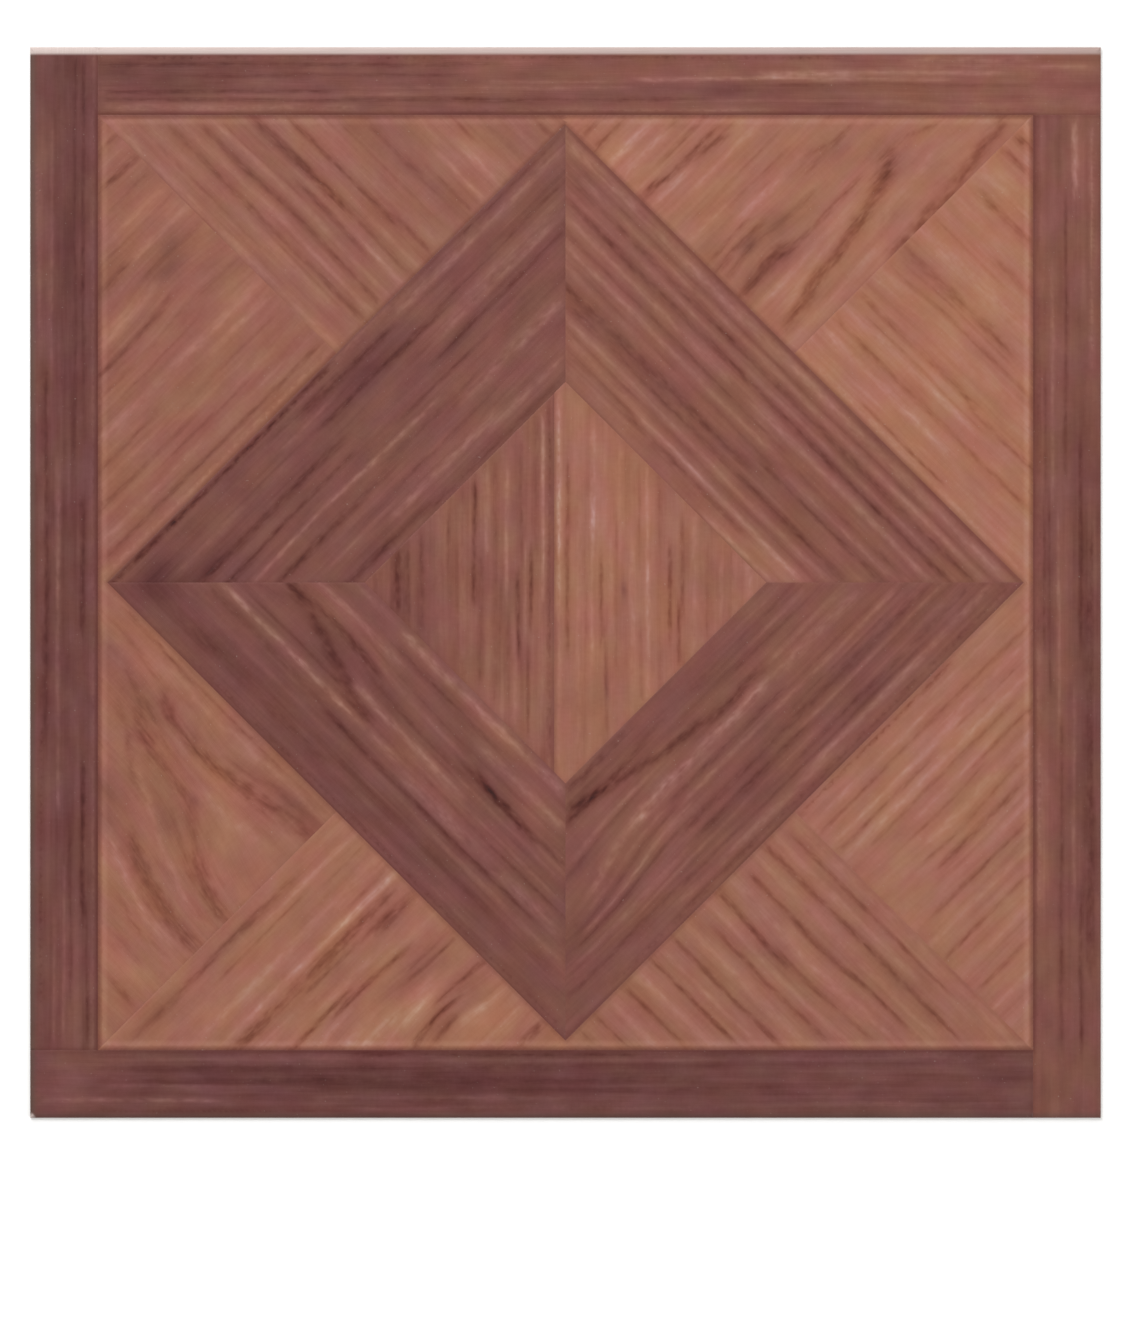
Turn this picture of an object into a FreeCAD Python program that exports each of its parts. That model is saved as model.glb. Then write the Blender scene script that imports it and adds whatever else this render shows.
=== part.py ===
import FreeCAD, Part
import math
import os

# A square vinyl floor tile with a parquet design, lying on its flat back with the printed face up.
# It is one sheet. A punch has cut it to size and drawn its printed face down along the four edges,
# and the joints between the boards of the design are pressed into the face as shallow V grooves.
# Millimetres. The origin is the middle of the back, +Z points out of the printed face and +Y towards
# the edge that is at the top when the tile is looked at.

# Driving dimensions of the sheet
side = 304.8
gauge = 1.2
roll_width = 1.3
roll_drop = 0.5

# Driving dimensions of the parquet design: the boards' own widths, how far the points of the diamond
# ring stop short of the border, and how far left of them the joint of the two centre boards lies
border_width = 19.3
ring_width = 51.8
point_gap = 2.7
centre_joint_offset = 3.2

# Driving dimensions of a pressed joint
joint_width = 0.6
joint_depth = 0.06

# The half sizes that the shapes below are drawn from
half_side = side / 2
inner_half = half_side - border_width
ring_point = inner_half - point_gap
core_point = ring_point - ring_width * math.sqrt(2)
ring_middle = ring_point / 2

# The rolled edge is one arc, level with the face at its inner end and roll_drop lower at the cut
roll_radius = (roll_width ** 2 + roll_drop ** 2) / (2 * roll_drop)
roll_turn = math.asin(roll_width / roll_radius)
face_half = half_side - roll_width
up = FreeCAD.Vector(0, 0, 1)


def roll_point(turn, sign):
    """A point on the rolled edge, turn radians from where it leaves the face, on one side of the tile."""
    across = face_half + roll_radius * math.sin(turn)
    height = gauge - roll_radius * (1 - math.cos(turn))
    return FreeCAD.Vector(sign * across, 0, height)


def rolled_strip():
    """A square of sheet whose left and right edges are cut and rolled down: one section, extruded along Y."""
    right_edge = Part.Arc(roll_point(roll_turn, 1), roll_point(roll_turn / 2, 1), roll_point(0, 1))
    left_edge = Part.Arc(roll_point(0, -1), roll_point(roll_turn / 2, -1), roll_point(roll_turn, -1))
    back_left = FreeCAD.Vector(-half_side, 0, 0)
    back_right = FreeCAD.Vector(half_side, 0, 0)
    section = Part.Wire([
        Part.makeLine(back_left, back_right),
        Part.makeLine(back_right, roll_point(roll_turn, 1)),
        right_edge.toShape(),
        Part.makeLine(roll_point(0, 1), roll_point(0, -1)),
        left_edge.toShape(),
        Part.makeLine(roll_point(roll_turn, -1), back_left),
    ])
    strip = Part.Face(section).extrude(FreeCAD.Vector(0, side, 0))
    strip.translate(FreeCAD.Vector(0, -half_side, 0))
    return strip


def punched_blank():
    """The tile without its joints: where two strips cross at right angles, every edge is rolled and mitred."""
    along_y = rolled_strip()
    along_x = rolled_strip()
    along_x.rotate(FreeCAD.Vector(0, 0, 0), up, 90)
    return along_y.common(along_x)


def turned(x, y, quarters):
    """A point of the printed face, turned clockwise about the tile's middle by some quarter turns."""
    point = FreeCAD.Vector(x, y, gauge)
    turn = FreeCAD.Rotation(up, -90 * quarters)
    return turn.multVec(point)


def joint_section(at, heading):
    """The V of a joint as a face that stands across heading, with its bottom joint_depth below the face.

    Its sides keep their slope up to one joint_depth above the face, where they are two widths apart.
    """
    aside = heading.cross(up)
    bottom = at - up * joint_depth
    top = at + up * joint_depth
    corners = [bottom, top + aside * joint_width, top - aside * joint_width, bottom]
    return Part.Face(Part.makePolygon(corners))


def straight_joint(start, end):
    """A joint pressed in a straight line from one point of the face to another."""
    run = end - start
    heading = FreeCAD.Vector(run).normalize()
    return joint_section(start, heading).extrude(run)


def joint_over_edge(corner, heading):
    """A border joint: straight to where the rolled edge begins, then down over the roll and out of the tile."""
    to_face_edge = face_half - corner.dot(heading)
    bend = corner + heading * to_face_edge
    aside = heading.cross(up)
    straight = straight_joint(corner, bend)
    # the curved part stays at joint_depth under the roll, and turns a quarter further than the cut
    roll_centre = bend - up * roll_radius
    past_the_cut = 1.25
    turn = math.degrees(roll_turn) * past_the_cut
    curved = joint_section(bend, heading).revolve(roll_centre, -aside, turn)
    return straight.fuse(curved)


def diamond_joint(point_distance):
    """A joint that runs round a diamond and is mitred at its points, swept from the middle of one side."""
    corners = [turned(0, point_distance, quarter) for quarter in range(4)]
    start = (corners[3] + corners[0]) / 2
    path = Part.makePolygon([start] + corners + [start])
    heading = (corners[0] - corners[3]).normalize()
    section = joint_section(start, heading).OuterWire
    right_corners = 1
    return path.makePipeShell([section], True, False, right_corners)


def pressed_joints():
    """Every joint of the parquet design as one list of solids."""
    joints = []
    for quarter in range(4):
        # the border's joints run round like a pinwheel: each starts on the one before and leaves the tile
        tee = turned(-inner_half, -inner_half, quarter)
        corner = turned(-inner_half, inner_half, quarter)
        heading = (corner - tee).normalize()
        joints.append(straight_joint(tee, corner))
        joints.append(joint_over_edge(corner, heading))
        # each light corner is two boards, which meet on the line from the corner to the ring's middle
        joints.append(straight_joint(corner, turned(-ring_middle, ring_middle, quarter)))
        # the ring's four boards are mitred at the points of the diamond
        joints.append(straight_joint(turned(0, ring_point, quarter), turned(0, core_point, quarter)))
    joints.append(diamond_joint(ring_point))
    joints.append(diamond_joint(core_point))
    # the centre is two boards that meet a little to the left of its points
    reach = core_point - centre_joint_offset
    foot = FreeCAD.Vector(-centre_joint_offset, -reach, gauge)
    head = FreeCAD.Vector(-centre_joint_offset, reach, gauge)
    joints.append(straight_joint(foot, head))
    return joints


os.makedirs("parts", exist_ok=True)
tile = punched_blank().cut(pressed_joints()).removeSplitter()
tile.exportStep("parts/tile.step")

box = tile.optimalBoundingBox(True, False)
print("tile:", round(box.XLength, 3), "x", round(box.YLength, 3), "x", round(box.ZLength, 3), "mm")
print("volume:", round(tile.Volume / 1000, 2), "cubic centimetres")
print("solids:", len(tile.Solids), "faces:", len(tile.Faces), "valid:", tile.isValid())
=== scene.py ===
# %% [markdown]
# # A vinyl floor tile with a parquet print
# The object is one square sheet of vinyl, a foot on a side and a little over a millimetre thick. Its face is
# printed with a parquet of dark and light boards, a clear wear layer lies over the print, and the joints of the
# parquet and the pores of the wood are pressed into the face. This lesson dresses a CAD model of the tile: it
# builds one closed mesh with the pressed relief, paints the figure of the wood on it and makes the materials.

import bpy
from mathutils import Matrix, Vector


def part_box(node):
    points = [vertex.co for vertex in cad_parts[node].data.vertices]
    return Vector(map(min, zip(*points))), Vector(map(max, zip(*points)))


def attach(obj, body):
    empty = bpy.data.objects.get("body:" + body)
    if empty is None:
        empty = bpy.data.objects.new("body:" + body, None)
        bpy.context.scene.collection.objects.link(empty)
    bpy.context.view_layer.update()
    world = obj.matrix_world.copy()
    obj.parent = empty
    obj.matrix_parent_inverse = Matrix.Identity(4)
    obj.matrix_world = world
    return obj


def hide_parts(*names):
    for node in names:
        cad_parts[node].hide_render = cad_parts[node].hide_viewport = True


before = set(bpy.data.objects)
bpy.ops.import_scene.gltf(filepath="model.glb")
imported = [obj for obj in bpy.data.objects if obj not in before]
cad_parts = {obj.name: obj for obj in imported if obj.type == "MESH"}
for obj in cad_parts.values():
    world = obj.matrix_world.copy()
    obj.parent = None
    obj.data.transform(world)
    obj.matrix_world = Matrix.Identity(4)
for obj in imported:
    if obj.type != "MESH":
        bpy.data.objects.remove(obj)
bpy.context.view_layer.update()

# %% Tools used below
import math
from types import SimpleNamespace

import bpy
import numpy as np
from mathutils.geometry import delaunay_2d_cdt

# %% [markdown]
# ## The sizes of the tile
# Blender works in metres, but a tile is drawn in millimetres, so every size and place below is in millimetres
# and is turned into metres once, when a mesh is made. The outside sizes come from the CAD model. The widths of
# the printed boards are the same ones that the CAD model's pressed joints follow.

# %% The tile's sizes in millimetres
MM = 0.001
half_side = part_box("tile")[1][0] / MM
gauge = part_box("tile")[1][2] / MM
roll_width = 1.3
roll_drop = 0.5
border_width = 19.3
ring_width = 51.8
point_gap = 2.7
centre_joint_offset = 3.2
joint_width = 0.6
joint_depth = 0.06
print_width = 2 * half_side

ROOT_TWO = math.sqrt(2)
inner_half = half_side - border_width
ring_point = inner_half - point_gap
core_point = ring_point - ring_width * ROOT_TWO
ring_middle = ring_point / 2
roll_radius = (roll_width ** 2 + roll_drop ** 2) / (2 * roll_drop)
face_half = half_side - roll_width
print(f"side {print_width:.1f}, gauge {gauge:.2f}, ring from {core_point:.1f} to {ring_point:.1f}")

# %% [markdown]
# ## The joints of the parquet
# The design turns round the middle of the tile: each quarter has one border strip, one corner of light wood
# split along its diagonal, and one board of the dark ring. So a joint is drawn once, for the top left quarter,
# and turned clockwise for the others. The last number of a joint says how dark a line the print draws there:
# strong inside the border, weaker round the ring and between two border strips, and hardly any where two
# boards of one wood meet.

# %% Draw the joints
def quarter_turned(x, y, quarters):
    """Points turned clockwise about the middle by quarter turns: each turn makes x and y into y and minus x."""
    for _ in range(quarters % 4):
        x, y = y, -x
    return x, y


def joint(quarter, start, end, ink):
    """One joint, drawn in the top left quarter and turned into its own quarter."""
    ends = [np.array(quarter_turned(*point, quarter)) for point in (start, end)]
    return SimpleNamespace(start=ends[0], end=ends[1], ink=ink)


joints = []
for quarter in range(4):
    border_corner = (-inner_half, inner_half)
    joints += [
        joint(quarter, (-inner_half, -inner_half), border_corner, 0.7),
        joint(quarter, border_corner, (-inner_half, half_side), 0.3),
        joint(quarter, border_corner, (-ring_middle, ring_middle), 0.02),
        joint(quarter, (0, ring_point), (0, core_point), 0.04),
        joint(quarter, (-ring_point, 0), (0, ring_point), 0.4),
        joint(quarter, (-core_point, 0), (0, core_point), 0.08),
    ]
centre_reach = core_point - centre_joint_offset
joints.append(joint(0, (-centre_joint_offset, -centre_reach), (-centre_joint_offset, centre_reach), 0.35))

# %% [markdown]
# ## The boards
# Each board has its own grain direction. A point of the tile is given in board coordinates: how far it lies
# across the grain, and how far along it. In the ring and in the light boards beside the left and right border
# the grain runs along the side of the diamond. In the light boards beside the top and bottom border it runs
# the other way, along the corner's diagonal. Working in board coordinates keeps every later step the same for
# all eighteen boards.

# %% Make the list of boards
quarter_names = ["top_left", "top_right", "bottom_right", "bottom_left"]
strip_names = ["left", "top", "right", "bottom"]
boards = []


def add_board(kind, place, quarter, sign=0):
    """Puts one board in the list. The sign says on which side of the corner's diagonal a light board lies."""
    boards.append(SimpleNamespace(name=f"{kind}_{place}", kind=kind, quarter=quarter, sign=sign))


for quarter in range(4):
    # the board beside the left or right border lies before the diagonal in even quarters, else after it
    side_sign = -1 if quarter % 2 == 0 else 1
    add_board("strip", strip_names[quarter], quarter)
    add_board("side", quarter_names[quarter], quarter, side_sign)
    add_board("end", quarter_names[quarter], quarter, -side_sign)
    add_board("ring", quarter_names[quarter], quarter)
for place in ("left", "right"):
    add_board("centre", place, 0)


def to_board(board, x, y):
    """Places across and along a board's grain: the point is turned back to the top left quarter, and for the
    boards of the diamond and the corners measured along the diagonal (outward) and square to it (aside)."""
    if board.kind == "centre":
        return x, y
    x, y = quarter_turned(x, y, -board.quarter)
    if board.kind == "strip":
        return -x, y
    aside = (x + y) / ROOT_TWO
    outward = (y - x) / ROOT_TWO
    if board.kind == "ring":
        return outward, aside
    aside = aside * board.sign
    return (outward, aside) if board.kind == "side" else (aside, outward)


def from_board(board, across, along):
    """The reverse of to_board: x and y of points given across and along a board's grain."""
    if board.kind == "centre":
        return across, along
    if board.kind == "strip":
        return quarter_turned(-across, along, board.quarter)
    if board.kind == "ring":
        outward, aside = across, along
    elif board.kind == "side":
        outward, aside = across, along * board.sign
    else:
        outward, aside = along, across * board.sign
    return quarter_turned((aside - outward) / ROOT_TWO, (aside + outward) / ROOT_TWO, board.quarter)


def board_index(x, y):
    """Which board each point belongs to, as its number in the list, where each quarter has four boards and the
    two centre boards come last. The strips overlap like a pinwheel, and the absolute x plus the absolute y tells
    the corners, the ring and the centre apart."""
    index = np.full(np.shape(x), len(boards) - 2)
    reach = abs(x) + abs(y)
    inside = np.maximum(abs(x), abs(y)) <= inner_half
    for quarter in range(4):
        own_x, own_y = quarter_turned(x, y, -quarter)
        index[~inside & (own_x < -inner_half) & (own_y > -inner_half)] = 4 * quarter
        here = inside & (own_x < 0) & (own_y >= 0) & (reach >= core_point)
        corner = here & (reach > ring_point)
        before = own_x + own_y < 0
        side_first = quarter % 2 == 0
        index[corner & (before == side_first)] = 4 * quarter + 1
        index[corner & (before != side_first)] = 4 * quarter + 2
        index[here & ~corner] = 4 * quarter + 3
    index[inside & (reach < core_point) & (x >= -centre_joint_offset)] = len(boards) - 1
    return index


print(len(boards), "boards:", ", ".join(board.name for board in boards))

# %% [markdown]
# ## The figure of each board
# The dark and pale streaks that an eye picks out first are set board by board, as a carver or a print
# maker would lay them out. A streak is given as its place across the grain, where it starts and ends along the
# grain, its width, and how much darker or paler it is, in percent of the range from the darkest ink to the
# palest. A stroke is a streak that curves: the places along and across that it passes, its width and its
# change. A blot is a soft oval: its place along and across, its length and breadth, and its change. A bulge
# pushes the grain lines aside, as a knot below the face does: its place along and across, its length and
# breadth, and how far it lifts the lines.

# %% Helpers for the figure
def figure(name, tone, warmth, contrast, streaks=(), strokes=(), blots=(), bulges=()):
    """Gives the board of that name its mean tone, from 0 (darkest ink) to 1 (palest), its warmth, how strongly
    its figure is printed, and the figure itself."""
    board = next(board for board in boards if board.name == name)
    board.tone = tone
    board.warmth = warmth
    board.contrast = contrast
    board.streaks = streaks
    board.strokes = strokes
    board.blots = blots
    board.bulges = bulges


# %% Border strips
figure("strip_left", 0.3, -0.08, 1.45, streaks=[
    (134.6, -132, 152, 0.8, 6), (137.4, -96, -52, 1.0, -16), (137.6, -14, 24, 0.9, -13),
    (137.2, 40, 150, 0.8, -10), (136.2, -134, -92, 0.7, -9), (139.6, 30, 150, 0.7, -8),
    (141.0, -120, -70, 0.8, -7), (144.4, -66, 34, 0.9, 11), (142.8, -130, -80, 0.6, 8),
    (146.2, 60, 130, 0.8, 8), (147.8, -44, 60, 1.1, -13), (145.6, -132, -96, 0.6, 10),
    (149.2, -120, -30, 0.6, -8), (150.2, 30, 120, 0.6, 6),
], blots=[
    (144, 143, 12, 12, -8), (0, 136, 140, 3, -3), (-112, 140, 20, 6, 8), (10, 142, 60, 3, -6),
    (96, 141.4, 40, 4, -9), (104, 149.2, 34, 1.6, 6), (-20, 148, 26, 3, -5), (-60, 142, 40, 3, -4),
])
figure("strip_top", 0.44, 0.0, 1.65, streaks=[
    (135.2, -130, -60, 1.3, 11), (134.6, -30, 60, 0.8, 6), (137.4, -132, 40, 0.9, -9),
    (138.9, -96, -40, 0.7, 7), (139.6, -132, -64, 0.9, -10), (140.8, -60, 20, 0.6, 7),
    (141.6, 60, 132, 0.6, -7), (143.4, 20, 110, 0.7, 12), (144.8, 56, 82, 1.3, 14), (145.2, 84, 124, 1.0, 9),
    (148.6, 98, 132, 1.2, 9), (144.4, -110, -30, 0.7, -6), (147.4, -132, -20, 0.9, -9),
    (146.8, 100, 150, 0.8, 8), (149.4, -120, 80, 0.7, -10), (137.0, 30, 100, 0.6, 6), (142.6, -20, 40, 0.7, 7),
], blots=[
    (-114, 146, 26, 6, -9), (-122, 141, 26, 10, -6), (22, 143, 22, 8, 4), (78, 140, 13, 8, -4),
    (-60, 142, 40, 12, -4), (-104, 136, 30, 3, 6), (20, 140, 34, 3, -6), (56, 140.6, 20, 2.6, -6),
    (120, 140, 40, 20, 7), (70, 144, 24, 4, 7), (-18, 149, 16, 3, 6),
])
figure("strip_right", 0.425, 0.0, 1.7, streaks=[
    (134.6, -130, 60, 0.7, -6), (134.8, 20, 90, 0.9, 8), (136.4, -60, 20, 0.7, -8), (138.6, -90, -20, 0.9, 8),
    (141.2, 40, 132, 0.8, -8), (140.4, -20, 40, 0.7, 8), (142.4, -110, -30, 0.7, -8),
    (144.9, -133, -108, 1.2, 15), (144.8, 30, 90, 0.7, 9), (146.6, -40, 20, 0.8, -9),
    (149.4, -14, 112, 2.0, -9), (149.8, -130, -60, 0.7, 9), (146.8, 90, 132, 0.8, -12),
    (137.8, -40, 30, 0.6, -7), (150.6, -20, 60, 0.6, 8),
], blots=[
    (34, 150, 66, 4, -8), (-30, 135.6, 110, 2.8, 5), (-30, 144.5, 110, 4, -4), (-84, 145, 50, 8, 4),
    (66, 136, 40, 3.4, 7), (6, 137.4, 46, 2.6, -7), (-40, 147, 16, 3, -6), (20, 141.6, 36, 2.2, 6),
    (-124, 146, 16, 4, 6),
])
figure("strip_bottom", 0.255, -0.13, 1.6, streaks=[
    (134.4, -20, 60, 0.9, -9), (136.0, -132, 132, 0.8, 4), (138.0, -10, 132, 1.1, -5),
    (141.6, -40, 132, 1.4, -6), (144.2, -60, 20, 0.9, -4), (146.8, 0, 70, 1.2, 6), (147.4, 100, 148, 0.9, 12),
    (149.4, -50, 60, 0.8, 5), (150.4, 60, 132, 0.7, -5), (143.4, 84, 130, 0.8, 6), (148.2, -132, -60, 0.9, 5),
], blots=[
    (80, 140, 34, 4, -6), (30, 142, 40, 4, -5), (-90, 142, 30, 8, 3), (134, 142, 20, 9, 5), (144, 141, 9, 8, 4),
    (70, 135.6, 90, 2.0, 4), (40, 144.5, 80, 2.2, -2),
])

# %% Light boards beside the left and right border
figure("side_top_left", 0.64, 0.05, 1.7, streaks=[
    (94.2, 0, 90, 0.7, 10), (97.4, 0, 88, 1.1, -9), (101.4, 44, 84, 1.0, 9), (101.0, 0, 30, 0.8, 5),
    (104.6, 22, 56, 0.9, -8), (106.4, 0, 26, 1.2, 6), (108.2, 44, 80, 1.0, -8), (109.6, 20, 50, 0.8, 6),
    (113.0, 50, 74, 1.0, 7), (112.2, 4, 50, 0.7, -5), (116.2, 48, 72, 0.8, -7), (117.4, 0, 27, 1.4, 13),
    (122.0, 0, 66, 1.8, 10), (126.6, 20, 60, 0.8, -4), (130.6, 0, 58, 1.0, -6), (135.2, 20, 54, 1.2, -12),
    (138.0, 0, 22, 0.8, 5), (140.8, 22, 48, 1.6, 9), (144.8, 0, 24, 1.2, -4), (151.4, 0, 24, 1.4, 10),
    (151.8, 22, 38, 1.4, -11), (157.4, 2, 26, 0.7, -6), (160.2, 0, 22, 1.2, 9), (166.4, 0, 18, 1.0, -5),
    (172.2, 0, 15, 1.4, -15), (176.6, 0, 10, 0.9, 6), (180.4, 0, 8, 1.0, -10),
], blots=[
    (14, 144, 10, 4.4, -7), (34, 143, 8, 3.5, 7), (12, 147.5, 3.0, 1.8, -10), (17, 142.5, 4, 2.2, -8),
    (12, 159, 9, 4, 6), (60, 98, 16, 3, -4), (33, 151, 9, 8, -6), (3, 150, 5, 8, 5), (8, 122, 12, 8, 4),
], bulges=[(16, 140, 16, 10, 2.4)])
figure("side_top_right", 0.86, 0.05, 1.75, streaks=[
    (94.0, 0, 90, 0.8, 8), (95.8, 24, 56, 0.7, -13), (98.6, 0, 50, 0.9, 5), (103.2, 0, 50, 1.8, 10),
    (107.6, 0, 78, 1.3, -8), (112.4, 0, 52, 1.7, 9), (116.6, 46, 74, 1.2, -9), (118.0, 0, 48, 1.4, -9),
    (114.2, 8, 52, 0.6, -6), (125.0, 0, 62, 2.2, 5), (130.6, 0, 56, 0.9, -8), (133.4, 4, 50, 0.6, -6),
    (136.2, 0, 44, 2.0, -9), (143.0, 0, 44, 2.6, 8), (151.4, 20, 36, 1.5, -8), (147.8, 2, 30, 0.6, -5),
    (161.8, 4, 26, 1.8, -11), (166.6, 0, 20, 1.6, 6), (175.6, 0, 12, 1.2, -15), (180.6, 0, 7, 2.0, -14),
], blots=[
    (6, 170, 6, 2, 5), (6, 134, 8, 5, -5), (5, 122, 6, 4, -4), (30, 116, 11, 4, 4), (18, 149, 9, 5, 4),
], bulges=[(4, 128, 12, 9, -1.6)])
figure("side_bottom_right", 0.8, -0.02, 1.75, streaks=[
    (93.8, 0, 60, 0.7, -14), (96.2, 50, 84, 0.8, 5), (98.6, 0, 50, 0.9, 8), (101.6, 0, 84, 0.9, -8),
    (104.4, 48, 80, 1.3, 8), (106.4, 0, 52, 1.2, 9), (109.0, 0, 40, 1.0, -8), (107.6, 50, 74, 0.7, -8),
    (111.6, 0, 76, 1.4, 10), (114.2, 10, 66, 0.9, -9), (117.6, 22, 54, 0.9, 8), (118.8, 44, 70, 1.0, -9),
    (120.6, 18, 50, 0.6, -7), (123.8, 20, 66, 1.5, 9), (127.4, 14, 62, 0.8, -8), (131.6, 18, 54, 1.6, -12),
    (136.6, 14, 50, 1.2, 6), (134.2, 20, 50, 0.6, 5), (141.0, 8, 44, 1.0, -9), (146.2, 0, 40, 1.2, 7),
    (152.0, 0, 34, 1.0, -9), (158.4, 0, 28, 1.4, 6), (165.0, 0, 20, 1.0, -8), (172.0, 0, 14, 1.4, 6),
], blots=[(44, 109, 24, 4, 5), (30, 126, 26, 4, 3), (36, 143, 10, 4, -5)], bulges=[(30, 128, 20, 9, 1.6)])
figure("side_bottom_left", 0.705, 0.05, 1.75, strokes=[
    ([(0, 102.0), (12, 103.6), (24, 106.4), (36, 108.0), (47, 107.2), (58, 103.6)], 2.3, -12),
    ([(2, 104.8), (14, 107.0), (26, 109.4)], 1.2, -4), ([(4, 99.0), (20, 101.0), (34, 104.4)], 1.2, -4),
    ([(0, 96.6), (20, 96.8), (40, 97.6), (66, 97.2)], 1.3, 9), ([(20, 94.6), (50, 94.8), (84, 94.2)], 0.7, -8),
    ([(0, 135.4), (10, 133.6), (19, 129.8), (27, 123.4), (36, 118.4)], 2.6, -11),
    ([(2, 137.2), (12, 136.2), (24, 130.6), (34, 124.2)], 1.2, -5),
    ([(6, 129.6), (14, 127.4), (22, 121.8)], 1.1, -4),
    ([(0, 141.6), (14, 140.0), (26, 135.2), (38, 129.2), (50, 122.6)], 1.3, 9),
    ([(1, 147.4), (12, 147.0), (24, 143.8), (38, 137.4)], 2.7, -10),
    ([(2, 149.2), (14, 149.4), (26, 146.6)], 1.1, -5),
    ([(6, 151.8), (18, 151.2), (30, 147.6), (42, 141.6)], 1.6, 11),
    ([(4, 155.6), (16, 155.8), (28, 152.4)], 0.7, -5), ([(36, 120.0), (46, 118.0), (62, 111.4)], 2.8, -9),
    ([(44, 127.6), (54, 121.4), (66, 114.0)], 1.4, -7), ([(42, 113.2), (56, 110.4), (72, 104.6)], 1.4, -6),
    ([(50, 100.4), (64, 100.8), (82, 98.6)], 1.2, -5), ([(6, 113.4), (18, 114.8), (32, 115.6)], 3.0, 8),
    ([(8, 163.4), (18, 161.0)], 1.6, -6), ([(2, 172.4), (12, 171.2)], 1.4, -7),
], blots=[
    (19, 118, 11, 5, 2), (10, 126, 14, 7, 6), (5, 155, 9, 6, 4), (10, 98, 14, 4, -10), (30, 110, 8, 3, 8),
    (66, 110, 13, 4, -8), (78, 104, 8, 4, -8), (52, 134.5, 7, 4, -13), (44, 140, 6, 3, -7), (30, 128, 6, 4, -7),
    (31, 141, 6, 3, -4), (31, 118.4, 3, 1.6, -10), (8, 124, 9, 3, -4), (72, 101, 12, 2, 6), (14, 166, 12, 5, 6),
    (46, 125, 12, 4, -5), (38, 150, 9, 4, 6), (46, 106, 12, 3, -3),
], bulges=[(-4, 131, 34, 21, 14.0), (36, 105, 22, 10, 5.0)])

# %% Light boards beside the top and bottom border
figure("end_top_left", 0.64, -0.02, 1.2, streaks=[
    (1.4, 93, 184, 1.8, 12), (6.0, 130, 170, 0.9, -8), (8.6, 93, 176, 1.2, 8), (12.0, 93, 172, 1.3, -13),
    (15.2, 93, 168, 1.0, 13), (18.6, 93, 166, 1.2, -15), (21.8, 93, 164, 1.2, 13), (25.6, 108, 134, 1.3, -13),
    (27.2, 93, 110, 1.1, 18), (30.4, 118, 158, 2.0, -23), (30.6, 93, 114, 1.2, -11), (33.8, 93, 112, 1.3, 12),
    (35.2, 130, 152, 0.9, 8), (37.8, 106, 148, 1.2, -15), (39.4, 93, 108, 0.9, -13), (42.6, 93, 144, 1.8, 7),
    (47.0, 96, 138, 0.8, -5), (52.6, 104, 134, 1.2, -9), (56.0, 93, 112, 0.9, -9), (60.6, 93, 112, 1.1, 15),
    (63.6, 104, 124, 1.2, 12), (67.0, 93, 110, 2.0, 14), (70.6, 106, 117, 1.0, -11), (76.6, 93, 109, 1.6, -6),
    (81.4, 93, 104, 1.6, 10), (87.0, 93, 99, 1.2, -10), (10.2, 100, 130, 0.5, -7), (23.4, 130, 160, 0.6, -8),
], blots=[
    (120, 24, 12, 3, -6), (142, 29, 13, 3.4, -9), (126, 31, 9, 3, 5), (128, 6, 9, 4, 5), (126, 53, 14, 5, -6),
    (100, 2, 6, 3, 7), (106, 68, 14, 8, 8), (152, 20, 14, 2.4, -5), (136, 42, 10, 4, 5), (104, 54, 12, 3, -6),
], bulges=[(128, 24, 20, 10, 1.2)])
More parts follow.
